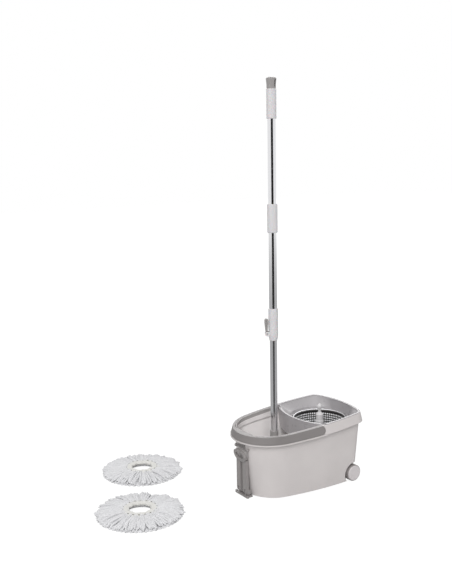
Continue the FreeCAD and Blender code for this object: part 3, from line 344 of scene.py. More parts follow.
class Finish(Enum):
    """Every finish on the object, by what it is made of."""

    BUCKET = BucketPlastic("moulded_polypropylene_light", "C5C0BF", roughness=0.40, drift=0.05)
    TRAY = MouldedPlastic("moulded_polypropylene_grey", "A8A5A7", roughness=0.31, drift=0.02)
    HANDLE = MouldedPlastic("moulded_polypropylene_dark", "7B7776", roughness=0.40, drift=0.06)
    PULL = MouldedPlastic("moulded_polypropylene_pull", "8C8887", roughness=0.40, drift=0.06)
    SWIVEL = MouldedPlastic("moulded_abs_grey", "8E8B8A", roughness=0.38, drift=0.05)
    INNER = MouldedPlastic("moulded_acetal_grey", "A09D9C", roughness=0.45)
    BEARING = MouldedPlastic("turned_acetal_natural", "E4E1D8", roughness=0.35)
    WHITE = MouldedPlastic("moulded_abs_white", "C6C4C6", roughness=0.33, drift=0.03, translucence=0.1)
    POST = MouldedPlastic("moulded_abs_bright_white", "D1CFD0", roughness=0.30, drift=0.02)
    WHEEL = MouldedPlastic("moulded_polypropylene_wheel", "C4BFC0", roughness=0.38, drift=0.04)
    TREAD = MouldedPlastic("moulded_rubber_tread", "8A8584", roughness=0.70, grain_depth=0.3)
    PAD = MouldedPlastic("moulded_rubber_pad", "3A3838", roughness=0.80, grain_depth=0.3)
    CHROME = ChromedSteel()
    STEEL = ChromedSteel("turned_steel", "BEBEC0", 0.3)
    RIM = StainlessSheet("rolled_stainless_rim", "EDEDEF", 0.30)
    # painted shade: the basket's sheet is drawn far darker than bare stainless, for the shade deep in the
    # bucket
    PUNCHED_PAINTED_SHADE = StainlessSheet("punched_stainless_sheet_painted_shade", "646261", 0.34)
    YARN = Microfibre("chenille_microfibre", "E6E6E8")
    BINDING = Microfibre("woven_cotton_binding", "E4E3DF", pile_mm=1.4, depth=0.35)
    # the stitches are real thread, and their dark grey is painted shade of the sunken stitch line
    STITCH = Microfibre("polyester_thread_painted_shade", "77776F", pile_mm=0.8, depth=0.3)


CAD_FINISHES: dict[Finish, tuple[str, ...]] = {
    Finish.BUCKET: ("bucket_shell",),
    Finish.TRAY: ("wringer_tray",),
    Finish.HANDLE: ("bail_handle",),
    Finish.PULL: ("tow_bar", "tow_foot", "tow_catch", "tow_pegs"),
    Finish.SWIVEL: ("swivel_yoke", "swivel_socket", "lock_lever", "end_cap"),
    Finish.INNER: ("basket_pedestal", "basket_carrier", "nut_housing", "bar_anchor", "clamp_shoe"),
    Finish.BEARING: ("thrust_washer", "carrier_bush", "drive_nut"),
    Finish.POST: ("centre_post",),
    Finish.WHITE: ("head_plate", "lock_collar", "tube_connector", "grip_sleeve"),
    Finish.WHEEL: ("wheel_left", "wheel_right"),
    Finish.TREAD: ("tyre_left", "tyre_right"),
    Finish.PAD: ("base_pads",),
    Finish.CHROME: ("lower_tube", "middle_tube", "upper_tube"),
    Finish.STEEL: ("bail_pins", "tow_pin", "stub_axle_left", "stub_axle_right", "pedestal_screws",
                   "hub_screws", "basket_spindle", "yoke_screw", "swivel_pin", "lever_pin", "twisted_bar"),
}


class Finishes:
    """Makes each finish once and hands it out."""

    def __init__(self) -> None:
        """Starts with nothing made."""
        self.made: dict[Finish, bpy.types.Material] = {}

    def __getitem__(self, finish: Finish) -> bpy.types.Material:
        """The material of a finish."""
        if finish not in self.made:
            self.made[finish] = finish.value.make()
        return self.made[finish]

    def dress(self, piece: bpy.types.Object, finish: Finish) -> None:
        """Puts one finish on a whole piece."""
        piece.data.materials.clear()
        piece.data.materials.append(self[finish])


FINISHES = Finishes()


# ---------------------------------------------------------------- mesh helpers

def new_piece(name: str, mesh: bpy.types.Mesh, body: str, finish: Finish, replaces: tuple[str, ...] = ()) -> bpy.types.Object:
    """Links a mesh as a piece of the object.

    Args:
        name: the piece's name.
        mesh: its finished mesh, with its place in its vertices.
        body: the CAD body that it rides on.
        finish: its finish.
        replaces: CAD nodes that it stands for.

    Returns:
        The piece.
    """
    mesh.name = name
    piece = bpy.data.objects.new(name, mesh)
    bpy.context.scene.collection.objects.link(piece)
    FINISHES.dress(piece, finish)
    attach(piece, body)
    if replaces:
        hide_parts(*replaces)
    return piece


def smooth(mesh: bpy.types.Mesh) -> None:
    """Shades every face of a mesh smooth."""
    mesh.polygons.foreach_set("use_smooth", [True] * len(mesh.polygons))


def grid_mesh(name: str, rows: list[list[Vector]], closed_rows: bool, closed_columns: bool) -> bpy.types.Mesh:
    """A skin of quads through rows of points.

    Args:
        name: the mesh's name.
        rows: equally long rows of points.
        closed_rows: joins the last point of each row to its first.
        closed_columns: joins the last row to the first.

    Returns:
        The mesh, smooth shaded, with its faces outwards.
    """
    count = len(rows[0])
    points = [point for row in rows for point in row]
    faces = []
    for here in range(len(rows) if closed_columns else len(rows) - 1):
        following = (here + 1) % len(rows)
        for step in range(count if closed_rows else count - 1):
            beside = (step + 1) % count
            faces.append((here * count + step, here * count + beside,
                          following * count + beside, following * count + step))
    mesh = bpy.data.meshes.new(name)
    mesh.from_pydata(points, [], faces)
    tidy_mesh(mesh)
    return mesh


def tidy_mesh(mesh: bpy.types.Mesh) -> None:
    """Merges doubled points, turns the faces outwards and shades them smooth."""
    work = bmesh.new()
    work.from_mesh(mesh)
    bmesh.ops.remove_doubles(work, verts=work.verts, dist=0.01 * MM)
    bmesh.ops.recalc_face_normals(work, faces=work.faces)
    work.to_mesh(mesh)
    work.free()
    smooth(mesh)


def lathe(name: str, profile: list[Row], steps: int = 96, centre: Row = (0.0, 0.0)) -> bpy.types.Mesh:
    """Turns a closed profile about an upright axis.

    Args:
        name: the mesh's name.
        profile: (radius, height) points in metres, in order round the section.
        steps: sides of the turned shape.
        centre: where the axis stands.

    Returns:
        The closed mesh.
    """
    rows = []
    for step in range(steps):
        turn = TURN * step / steps
        across, along = math.cos(turn), math.sin(turn)
        rows.append([Vector((centre[0] + radius * across, centre[1] + radius * along, height))
                     for radius, height in profile])
    return grid_mesh(name, rows, True, True)


class NodeTreeMaker:
    """Builds a Geometry Nodes tree with named inputs and turns it into a plain mesh."""

    def __init__(self, name: str) -> None:
        """Starts a tree that has one geometry output.

        Args:
            name: the tree's name.
        """
        self.tree = bpy.data.node_groups.new(name, "GeometryNodeTree")
        self.tree.interface.new_socket(name="Geometry", in_out="OUTPUT", socket_type="NodeSocketGeometry")
        self.values: dict[str, float] = {}
        self.source = self.tree.nodes.new("NodeGroupInput")

    def size(self, name: str, value: float, kind: str = "NodeSocketFloat") -> bpy.types.NodeSocket:
        """Adds a named input.

        Args:
            name: the input's name.
            value: what it is set to on the modifier.
            kind: the socket's type.

        Returns:
            The output socket inside the tree that carries it.
        """
        socket = self.tree.interface.new_socket(name=name, in_out="INPUT", socket_type=kind)
        self.values[socket.identifier] = value
        return self.source.outputs[name]

    def count(self, name: str, value: int) -> bpy.types.NodeSocket:
        """Adds a named whole-number input."""
        return self.size(name, value, "NodeSocketInt")

    def add(self, kind: str, values: dict | None = None, links: dict | None = None,
            **settings: Any) -> bpy.types.Node:
        """Adds a node to the tree."""
        return add(self.tree, kind, values, links, **settings)

    def maths(self, operation: str, first: Any, second: Any = None,
              third: Any = None) -> bpy.types.NodeSocket:
        """One sum on sockets or plain numbers.

        Args:
            operation: the Math node's operation.
            first: a socket or a number.
            second: a socket or a number.
            third: a socket or a number.

        Returns:
            The result's socket.
        """
        node = self.tree.nodes.new("ShaderNodeMath")
        node.operation = operation
        for index, item in enumerate((first, second, third)):
            if isinstance(item, bpy.types.NodeSocket):
                self.tree.links.new(item, node.inputs[index])
            elif item is not None:
                node.inputs[index].default_value = item
        return node.outputs[0]

    def mesh(self, name: str, geometry: bpy.types.NodeSocket, finish: Finish) -> bpy.types.Mesh:
        """Ends the tree and evaluates it.

        Args:
            name: the mesh's name.
            geometry: the last geometry socket.
            finish: the finish that the tree sets.

        Returns:
            The plain mesh.
        """
        real = self.add("GeometryNodeRealizeInstances", links={"Geometry": geometry})
        dressed = self.add("GeometryNodeSetMaterial", {"Material": FINISHES[finish]},
                           {"Geometry": real.outputs["Geometry"]})
        self.add("NodeGroupOutput", links={"Geometry": dressed.outputs["Geometry"]})
        host = bpy.data.objects.new(name + "_host", bpy.data.meshes.new(name + "_host"))
        bpy.context.scene.collection.objects.link(host)
        modifier = host.modifiers.new("nodes", "NODES")
        modifier.node_group = self.tree
        for identifier, value in self.values.items():
            modifier[identifier] = value
        graph = bpy.context.evaluated_depsgraph_get()
        mesh = bpy.data.meshes.new_from_object(host.evaluated_get(graph), depsgraph=graph)
        bpy.data.objects.remove(host)
        mesh.name = name
        return mesh


# ---------------------------------------------------------------- wringer basket

@dataclass
class WringerBasket:
    """The spinning basket: a punched wall and floor, a pressed corner and a rolled rim."""

    sheet: float = 0.8 * MM
    corner: float = 6 * MM
    bead: float = 1.9 * MM
    plain_top: float = 9 * MM
    overlap: float = 0.2 * MM
    columns: int = 72
    rows: int = 8
    hole: float = 1.1 * MM
    lip: float = 1.5 * MM
    dimple: float = 0.9 * MM
    floor_columns: int = 40
    floor_rows: int = 3
    floor_inner: float = 36 * MM
    low: Vector = field(default_factory=lambda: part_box("spin_basket")[0])
    high: Vector = field(default_factory=lambda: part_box("spin_basket")[1])

    def __post_init__(self) -> None:
        """Works the basket's radii and levels out from its CAD node."""
        self.rim_radius = self.high.x - self.bead
        self.rim_level = self.high.z - self.bead
        self.floor_level = self.low.z
        self.floor_radius = self.rim_radius - 12.6 * MM

    def punched_band(self, name: str, foot: Row, top: Row, columns: int, rows: int) -> bpy.types.Mesh:
        """A conical band of punched sheet, each hole set in a small dimple pressed outwards.

        Args:
            name: the mesh's name.
            foot: radius and level of the band's lower edge.
            top: radius and level of its upper edge.
            columns: holes round the band.
            rows: holes up the band.

        Returns:
            The band as a single skin.
        """
        maker = NodeTreeMaker(name)
        around = maker.count("Columns", columns)
        up = maker.count("Rows", rows)
        hole = maker.size("Hole", self.hole)
        lip = maker.size("Dimple rim", self.hole + self.lip)
        depth = maker.size("Dimple depth", self.dimple)
        foot_radius = maker.size("Foot radius", foot[0])
        foot_level = maker.size("Foot level", foot[1])
        top_radius = maker.size("Top radius", top[0])
        top_level = maker.size("Top level", top[1])
        slant = math.dist(foot, top)
        girth = TURN * (foot[0] + top[0]) / 2
        lean, climb = (top[0] - foot[0]) / slant, (top[1] - foot[1]) / slant
        sides = 12
        cell_wide, cell_high = girth / columns, slant / rows
        square = maker.add("GeometryNodeCurvePrimitiveQuadrilateral",
                           {"Width": cell_wide, "Height": cell_high})
        circle = maker.add("GeometryNodeCurvePrimitiveCircle", {"Resolution": sides}, {"Radius": lip})
        outline = maker.add("GeometryNodeJoinGeometry")
        maker.tree.links.new(circle.outputs["Curve"], outline.inputs["Geometry"])
        maker.tree.links.new(square.outputs["Curve"], outline.inputs["Geometry"])
        plate = maker.add("GeometryNodeFillCurve", links={"Curve": outline.outputs["Geometry"]})
        funnel = maker.add("GeometryNodeMeshCone", {"Vertices": sides},
                           {"Radius Top": hole, "Radius Bottom": lip, "Depth": depth}, fill_type="NONE")
        marked = maker.add("GeometryNodeStoreNamedAttribute", {"Name": PAINTED_LIP_HIGHLIGHT, "Value": 1.0},
                           {"Geometry": funnel.outputs["Mesh"]}, data_type="FLOAT", domain="FACE")
        cell = maker.add("GeometryNodeJoinGeometry")
        for part in (plate.outputs["Mesh"], marked.outputs["Geometry"]):
            maker.tree.links.new(part, cell.inputs["Geometry"])
        columns_less = maker.maths("SUBTRACT", around, 1.0)
        rows_less = maker.maths("SUBTRACT", up, 1.0)
        grid = maker.add("GeometryNodeMeshGrid", links={
            "Vertices X": around, "Vertices Y": up,
            "Size X": maker.maths("MULTIPLY", columns_less, cell_wide),
            "Size Y": maker.maths("MULTIPLY", rows_less, cell_high)})
        cells = maker.add("GeometryNodeInstanceOnPoints",
                          links={"Points": grid.outputs["Mesh"], "Instance": cell.outputs["Geometry"]})
        flat = maker.add("GeometryNodeRealizeInstances", links={"Geometry": cells.outputs["Instances"]})
        where = maker.add("ShaderNodeSeparateXYZ", links={"Vector": maker.add(
            "GeometryNodeInputPosition").outputs["Position"]})
        turn = maker.maths("MULTIPLY", where.outputs["X"], TURN / girth)
        height = maker.maths("ADD", maker.maths("DIVIDE", where.outputs["Y"], slant), 0.5)

        def blend(low: bpy.types.NodeSocket, high: bpy.types.NodeSocket) -> bpy.types.NodeSocket:
            """Runs from low at the band's foot to high at its top."""
            return maker.maths("MULTIPLY_ADD", maker.maths("SUBTRACT", high, low), height, low)

        sunk = where.outputs["Z"]
        radius = maker.maths("MULTIPLY_ADD", sunk, climb, blend(foot_radius, top_radius))
        bent = maker.add("ShaderNodeCombineXYZ", links={
            "X": maker.maths("MULTIPLY", radius, maker.maths("COSINE", turn)),
            "Y": maker.maths("MULTIPLY", radius, maker.maths("SINE", turn)),
            "Z": maker.maths("MULTIPLY_ADD", sunk, -lean, blend(foot_level, top_level))})
        rolled = maker.add("GeometryNodeSetPosition", links={
            "Geometry": flat.outputs["Geometry"], "Position": bent.outputs["Vector"]})
        merged = maker.add("GeometryNodeMergeByDistance", {"Distance": 0.05 * MM},
                           {"Geometry": rolled.outputs["Geometry"]})
        return maker.mesh(name, merged.outputs["Geometry"], Finish.PUNCHED_PAINTED_SHADE)

    def thicken(self, piece: bpy.types.Object) -> None:
        """Gives a single skin the sheet's thickness."""
        wall = piece.modifiers.new("sheet", "SOLIDIFY")
        wall.thickness = self.sheet
        wall.offset = 0.0

    def rim_profile(self) -> list[Row]:
        """The plain top band that rolls over into a bead."""
        profile = []
        steps = 14
        for step in range(steps):
            turn = TURN * step / steps
            profile.append((self.rim_radius + self.bead * math.cos(turn),
                            self.rim_level + self.bead * math.sin(turn)))
        return profile

    def plain_profile(self) -> list[Row]:
        """The unpunched pressing: upper band as a thin closed section."""
        foot = self.wall_at(self.rim_level - self.plain_top)
        foot_level = self.rim_level - self.plain_top - self.overlap
        half = self.sheet / 2
        return [(foot + half, foot_level), (self.rim_radius + half, self.rim_level),
                (self.rim_radius - half, self.rim_level), (foot - half, foot_level)]

    def wall_at(self, level: float) -> float:
        """The wall's radius at a level."""
        foot_radius = self.floor_radius + self.corner
        foot_level = self.floor_level + self.corner
        share = (level - foot_level) / (self.rim_level - foot_level)
        return foot_radius + share * (self.rim_radius - foot_radius)

    def corner_profile(self) -> list[Row]:
        """The pressed corner between floor and wall, and the plain ring round the floor's holes."""
        half = self.sheet / 2
        steps = 8
        outer, inner = [], []
        for step in range(steps + 1):
            turn = math.pi / 2 * step / steps
            for side, row in ((half, outer), (-half, inner)):
                reach = self.corner + side
                row.append((self.floor_radius + reach * math.sin(turn),
                            self.floor_level + half + self.corner - reach * math.cos(turn)))
        return outer + inner[::-1]

    def hub_profile(self) -> list[Row]:
        """The plain middle of the floor, under the centre post's flange."""
        low, high = self.floor_level, self.floor_level + self.sheet
        return [(9 * MM, low), (self.floor_inner, low), (self.floor_inner, high), (9 * MM, high)]

    def build(self) -> None:
        """Makes the basket's pieces."""
        foot_level = self.floor_level + self.corner
        top_level = self.rim_level - self.plain_top
        wall = self.punched_band("basket_wall", (self.wall_at(foot_level), foot_level),
                                 (self.wall_at(top_level), top_level), self.columns, self.rows)
        middle = self.floor_level + self.sheet / 2
        floor = self.punched_band("basket_floor", (self.floor_inner, middle), (self.floor_radius, middle),
                                  self.floor_columns, self.floor_rows)
        wall_piece = new_piece("basket_wall", wall, "basket", Finish.PUNCHED_PAINTED_SHADE, ("spin_basket",))
        floor_piece = new_piece("basket_floor", floor, "basket", Finish.PUNCHED_PAINTED_SHADE, ())
        for piece in (wall_piece, floor_piece):
            self.thicken(piece)
        for name, profile, finish in (("basket_rim", self.rim_profile(), Finish.RIM),
                                      ("basket_band", self.plain_profile(), Finish.PUNCHED_PAINTED_SHADE),
                                      ("basket_corner", self.corner_profile(), Finish.PUNCHED_PAINTED_SHADE),
                                      ("basket_hub", self.hub_profile(), Finish.PUNCHED_PAINTED_SHADE)):
            new_piece(name, lathe(name, profile, 120), "basket", finish, ())
        LOG.info("basket: %d holes in the wall", self.columns * self.rows)


# ---------------------------------------------------------------- spare heads

@dataclass
class SpareHead:
    """A spare mop head lying flat: a stitched ring with a lobed hole and a skirt of chenille loops."""

    letter: str
    seed: int
    strands: int = 400
    clumps: int = 56
    points: int = 19
    sides: int = 5
    yarn: float = 4.2 * MM
    lobes: int = 8
    lobe_depth: float = 3.0 * MM
    stitches: int = 18
    tuck: float = 14 * MM
    seam_inset: float = 11 * MM
    hole: float = 33 * MM

    def __post_init__(self) -> None:
        """Reads the head's place and sizes from its CAD nodes."""
        self.body = "spare_head_" + self.letter
        low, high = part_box("head_fibre_" + self.letter)
        self.centre = ((low.x + high.x) / 2, (low.y + high.y) / 2)
        self.reach = (high.x - low.x) / 2
        ring_low, ring_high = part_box("head_ring_" + self.letter)
        self.ring_radius = (ring_high.x - ring_low.x) / 2
        self.ring_foot, self.ring_top = ring_low.z, ring_high.z

    def skirt(self) -> bpy.types.Mesh:
        """Grows the loops: each leaves the ring at its own height and settles towards the floor."""
        maker = NodeTreeMaker("yarn_skirt_" + self.letter)
        strands = maker.count("Strands", self.strands)
        seed = maker.count("Seed", self.seed)
        clumps = maker.count("Clumps", self.clumps)
        yarn = maker.size("Yarn radius", self.yarn)
        start = maker.size("Start radius", self.ring_radius - self.tuck)
        reach = maker.size("Reach", self.reach - self.yarn)
        line = maker.add("GeometryNodeCurvePrimitiveLine", {"Start": (0, 0, 0), "End": (1, 0, 0)})
        drawn = maker.add("GeometryNodeResampleCurve", {"Count": self.points},
                          {"Curve": line.outputs["Curve"]})
        spots = maker.add("GeometryNodeMeshLine", {"Offset": (0, 0, 0)}, {"Count": strands})
        copies = maker.add("GeometryNodeInstanceOnPoints",
                           links={"Points": spots.outputs["Mesh"], "Instance": drawn.outputs["Curve"]})
        curves = maker.add("GeometryNodeRealizeInstances", links={"Geometry": copies.outputs["Instances"]})
        index = maker.add("GeometryNodeInputIndex").outputs["Index"]
        middle = maker.maths("ADD", index, 0.5)
        strand = maker.maths("FLOOR", maker.maths("DIVIDE", middle, float(self.points)))
        along = maker.add("GeometryNodeSplineParameter").outputs["Factor"]

        def chance(low: float, high: float, salt: int, owner: Any = strand) -> bpy.types.NodeSocket:
            """A number between low and high that is the same all along one strand or clump."""
            node = maker.add("FunctionNodeRandomValue", data_type="FLOAT")
            floats = [socket for socket in node.inputs if socket.type == "VALUE" and socket.enabled]
            floats[0].default_value, floats[1].default_value = low, high
            maker.tree.links.new(owner, node.inputs["ID"])
            maker.tree.links.new(maker.maths("ADD", seed, float(salt)), node.inputs["Seed"])
            return [socket for socket in node.outputs if socket.enabled][0]

        layer = chance(0.0, 1.0, 1)
        spot = maker.maths("DIVIDE", maker.maths("ADD", strand, chance(-1.1, 1.1, 2)), strands)
        spot = maker.maths("MULTIPLY", maker.maths("FRACT", spot), clumps)
        clump = maker.maths("FLOOR", spot)
        offset = maker.maths("SUBTRACT", maker.maths("SUBTRACT", spot, clump), 0.5)
        outward = maker.maths("POWER", along, 2.0)
        gathered = maker.maths("MULTIPLY", maker.maths("MULTIPLY", offset, outward),
                               chance(0.25, 0.55, 8, clump))
        spot = maker.maths("DIVIDE", maker.maths("SUBTRACT", spot, gathered), clumps)
        sway = maker.maths("MULTIPLY", along, chance(-0.05, 0.05, 9, clump))
        curl = maker.maths("MULTIPLY", outward, chance(-0.045, 0.045, 3))
        wave = maker.maths("SINE", maker.maths("MULTIPLY_ADD", along, 6.0, chance(0.0, TURN, 4)))
        wave = maker.maths("MULTIPLY", maker.maths("MULTIPLY", wave, along), 0.012)
        drift = maker.maths("ADD", sway, maker.maths("ADD", curl, wave))
        turn = maker.maths("MULTIPLY_ADD", spot, TURN, drift)
        rounding = maker.maths("MULTIPLY", maker.maths("MULTIPLY", offset, offset), -0.22)
        length = maker.maths("ADD", maker.maths("ADD", chance(0.93, 1.0, 10, clump), chance(-0.045, 0.0, 5)),
                             rounding)
        full = maker.maths("MULTIPLY", reach, length)
        radius = maker.maths("MULTIPLY_ADD", maker.maths("SUBTRACT", full, start), along, start)
        rise = maker.maths("MULTIPLY_ADD", layer, 9 * MM, 9.0 * MM)
        rest = maker.maths("MULTIPLY_ADD", layer, 8 * MM, 4.5 * MM)
        fall = maker.maths("POWER", along, 1.4)
        level = maker.maths("MULTIPLY_ADD", maker.maths("SUBTRACT", rest, rise), fall, rise)
        crown = maker.maths("SINE", maker.maths("MULTIPLY", along, math.pi))
        level = maker.maths("MULTIPLY_ADD", maker.maths("MULTIPLY", crown, layer), 4.0 * MM, level)
        place = maker.add("ShaderNodeCombineXYZ", links={
            "X": maker.maths("MULTIPLY_ADD", radius, maker.maths("COSINE", turn), self.centre[0]),
            "Y": maker.maths("MULTIPLY_ADD", radius, maker.maths("SINE", turn), self.centre[1]),
            "Z": level})
        laid = maker.add("GeometryNodeSetPosition", links={
            "Geometry": curves.outputs["Geometry"], "Position": place.outputs["Vector"]})
        beads = maker.maths("SINE", maker.maths("MULTIPLY_ADD", along, 60.0, chance(0.0, TURN, 6)))
        swell = maker.maths("MULTIPLY_ADD", beads, 0.16, chance(0.80, 1.04, 7))
        end = maker.maths("SUBTRACT", 1.0, maker.maths("POWER", along, 12.0))
        end = maker.maths("MAXIMUM", maker.maths("POWER", end, 0.5), 0.25)
        thick = maker.maths("MULTIPLY", maker.maths("MULTIPLY", swell, end), yarn)
        sized = maker.add("GeometryNodeSetCurveRadius", links={
            "Curve": laid.outputs["Geometry"], "Radius": thick})
        section = maker.add("GeometryNodeCurvePrimitiveCircle", {"Resolution": self.sides, "Radius": 1.0})
        tubes = maker.add("GeometryNodeCurveToMesh", {"Fill Caps": True}, {
            "Curve": sized.outputs["Curve"], "Profile Curve": section.outputs["Curve"]})
        scale = tubes.inputs.get("Scale")
        if scale is not None:
            maker.tree.links.new(thick, scale)
        mesh = maker.mesh("yarn_skirt_" + self.letter, tubes.outputs["Mesh"], Finish.YARN)
        smooth(mesh)
        return mesh

    def bed(self) -> bpy.types.Mesh:
        """The under layer of loops as one lumpy pad that closes the gaps between the upper ones."""
        steps = self.clumps * 4
        shape = [(0.0, 0.0), (0.0, 8.5), (0.45, 9.5), (0.8, 6.5), (0.97, 4.5), (1.0, 2.5), (0.97, 0.0)]
        inner = self.ring_radius - self.tuck
        rows = []
        for step in range(steps):
            turn = TURN * step / steps
            lump = 0.90 + 0.02 * math.cos(self.clumps * turn)
            outer = self.reach * lump
            rows.append([Vector((self.centre[0] + (inner + (outer - inner) * share) * math.cos(turn),
                                 self.centre[1] + (inner + (outer - inner) * share) * math.sin(turn),
                                 height * MM)) for share, height in shape])
        return grid_mesh("yarn_bed_" + self.letter, rows, True, True)

    def hole_edge(self, turn: float) -> float:
        """The hole's radius at a bearing: round lobes that meet in cusps."""
        wave = abs(math.cos(self.lobes * turn / 2))
        return self.hole + self.lobe_depth * (wave - 0.6) * 1.3

    def ring(self) -> bpy.types.Mesh:
        """The bound ring: padded on top, pressed in along the stitch line."""
        steps = 192
        thick = self.ring_top - self.ring_foot
        rows = []
        for step in range(steps):
            turn = TURN * step / steps
            inner = self.hole_edge(turn)
            outer = self.ring_radius
            width = outer - inner
            top = [(0.0, 0.55), (0.03, 0.82), (0.10, 0.96), (0.3, 1.0), (0.55, 0.93), (0.72, 0.84),
                   (0.82, 0.72), (0.90, 0.80), (0.96, 0.72), (1.0, 0.45)]
            bottom = [(0.98, 0.1), (0.9, 0.0), (0.1, 0.0), (0.02, 0.1)]
            rows.append([Vector((self.centre[0] + (inner + width * share) * math.cos(turn),
                                 self.centre[1] + (inner + width * share) * math.sin(turn),
                                 self.ring_foot + thick * rise)) for share, rise in top + bottom])
        return grid_mesh("head_binding_" + self.letter, rows, True, True)

    def stitching(self) -> bpy.types.Mesh:
        """Short thread stitches set round the ring's seam, in a dark grey that paints the shade of the sunken
        stitch line.
        """
        maker = NodeTreeMaker("head_stitching_" + self.letter)
        count = maker.count("Stitches", self.stitches)
        radius = maker.size("Seam radius", self.ring_radius - self.seam_inset)
        length = maker.size("Stitch length", 7.5 * MM)
        circle = maker.add("GeometryNodeMeshCircle", links={"Vertices": count, "Radius": radius})
        capsule = maker.add("GeometryNodeMeshUVSphere", {"Segments": 8, "Rings": 6, "Radius": 1.0})
        shaped = maker.add("GeometryNodeTransform", {"Scale": (1.4 * MM, 1.0, 1.0 * MM)},
                           {"Geometry": capsule.outputs["Mesh"]})
        half = maker.maths("MULTIPLY", length, 0.5)
        stretch = maker.add("ShaderNodeCombineXYZ", {"X": 1.0, "Z": 1.0}, {"Y": half})
        spot = maker.add("GeometryNodeInputPosition").outputs["Position"]
        facing = maker.add("FunctionNodeAlignEulerToVector", {}, {"Vector": spot}, axis="X", pivot_axis="Z")
        copies = maker.add("GeometryNodeInstanceOnPoints", links={
            "Points": circle.outputs["Mesh"], "Instance": shaped.outputs["Geometry"],
            "Rotation": facing.outputs["Rotation"], "Scale": stretch.outputs["Vector"]})
        moved = maker.add("GeometryNodeTransform", {
            "Translation": (self.centre[0], self.centre[1], self.ring_top - 0.4 * MM)},
            {"Geometry": copies.outputs["Instances"]})
        mesh = maker.mesh("head_stitching_" + self.letter, moved.outputs["Geometry"], Finish.STITCH)
        smooth(mesh)
        return mesh

    def build(self) -> None:
        """Makes the head's pieces."""
        new_piece("yarn_skirt_" + self.letter, self.skirt(), self.body, Finish.YARN,
                  ("head_fibre_" + self.letter,))
        new_piece("yarn_bed_" + self.letter, self.bed(), self.body, Finish.YARN, ())
        new_piece("head_binding_" + self.letter, self.ring(), self.body, Finish.BINDING,
                  ("head_ring_" + self.letter,))
        new_piece("head_stitching_" + self.letter, self.stitching(), self.body, Finish.STITCH, ())
        LOG.info("spare head %s: %d loops", self.letter, self.strands)


# ---------------------------------------------------------------- studio

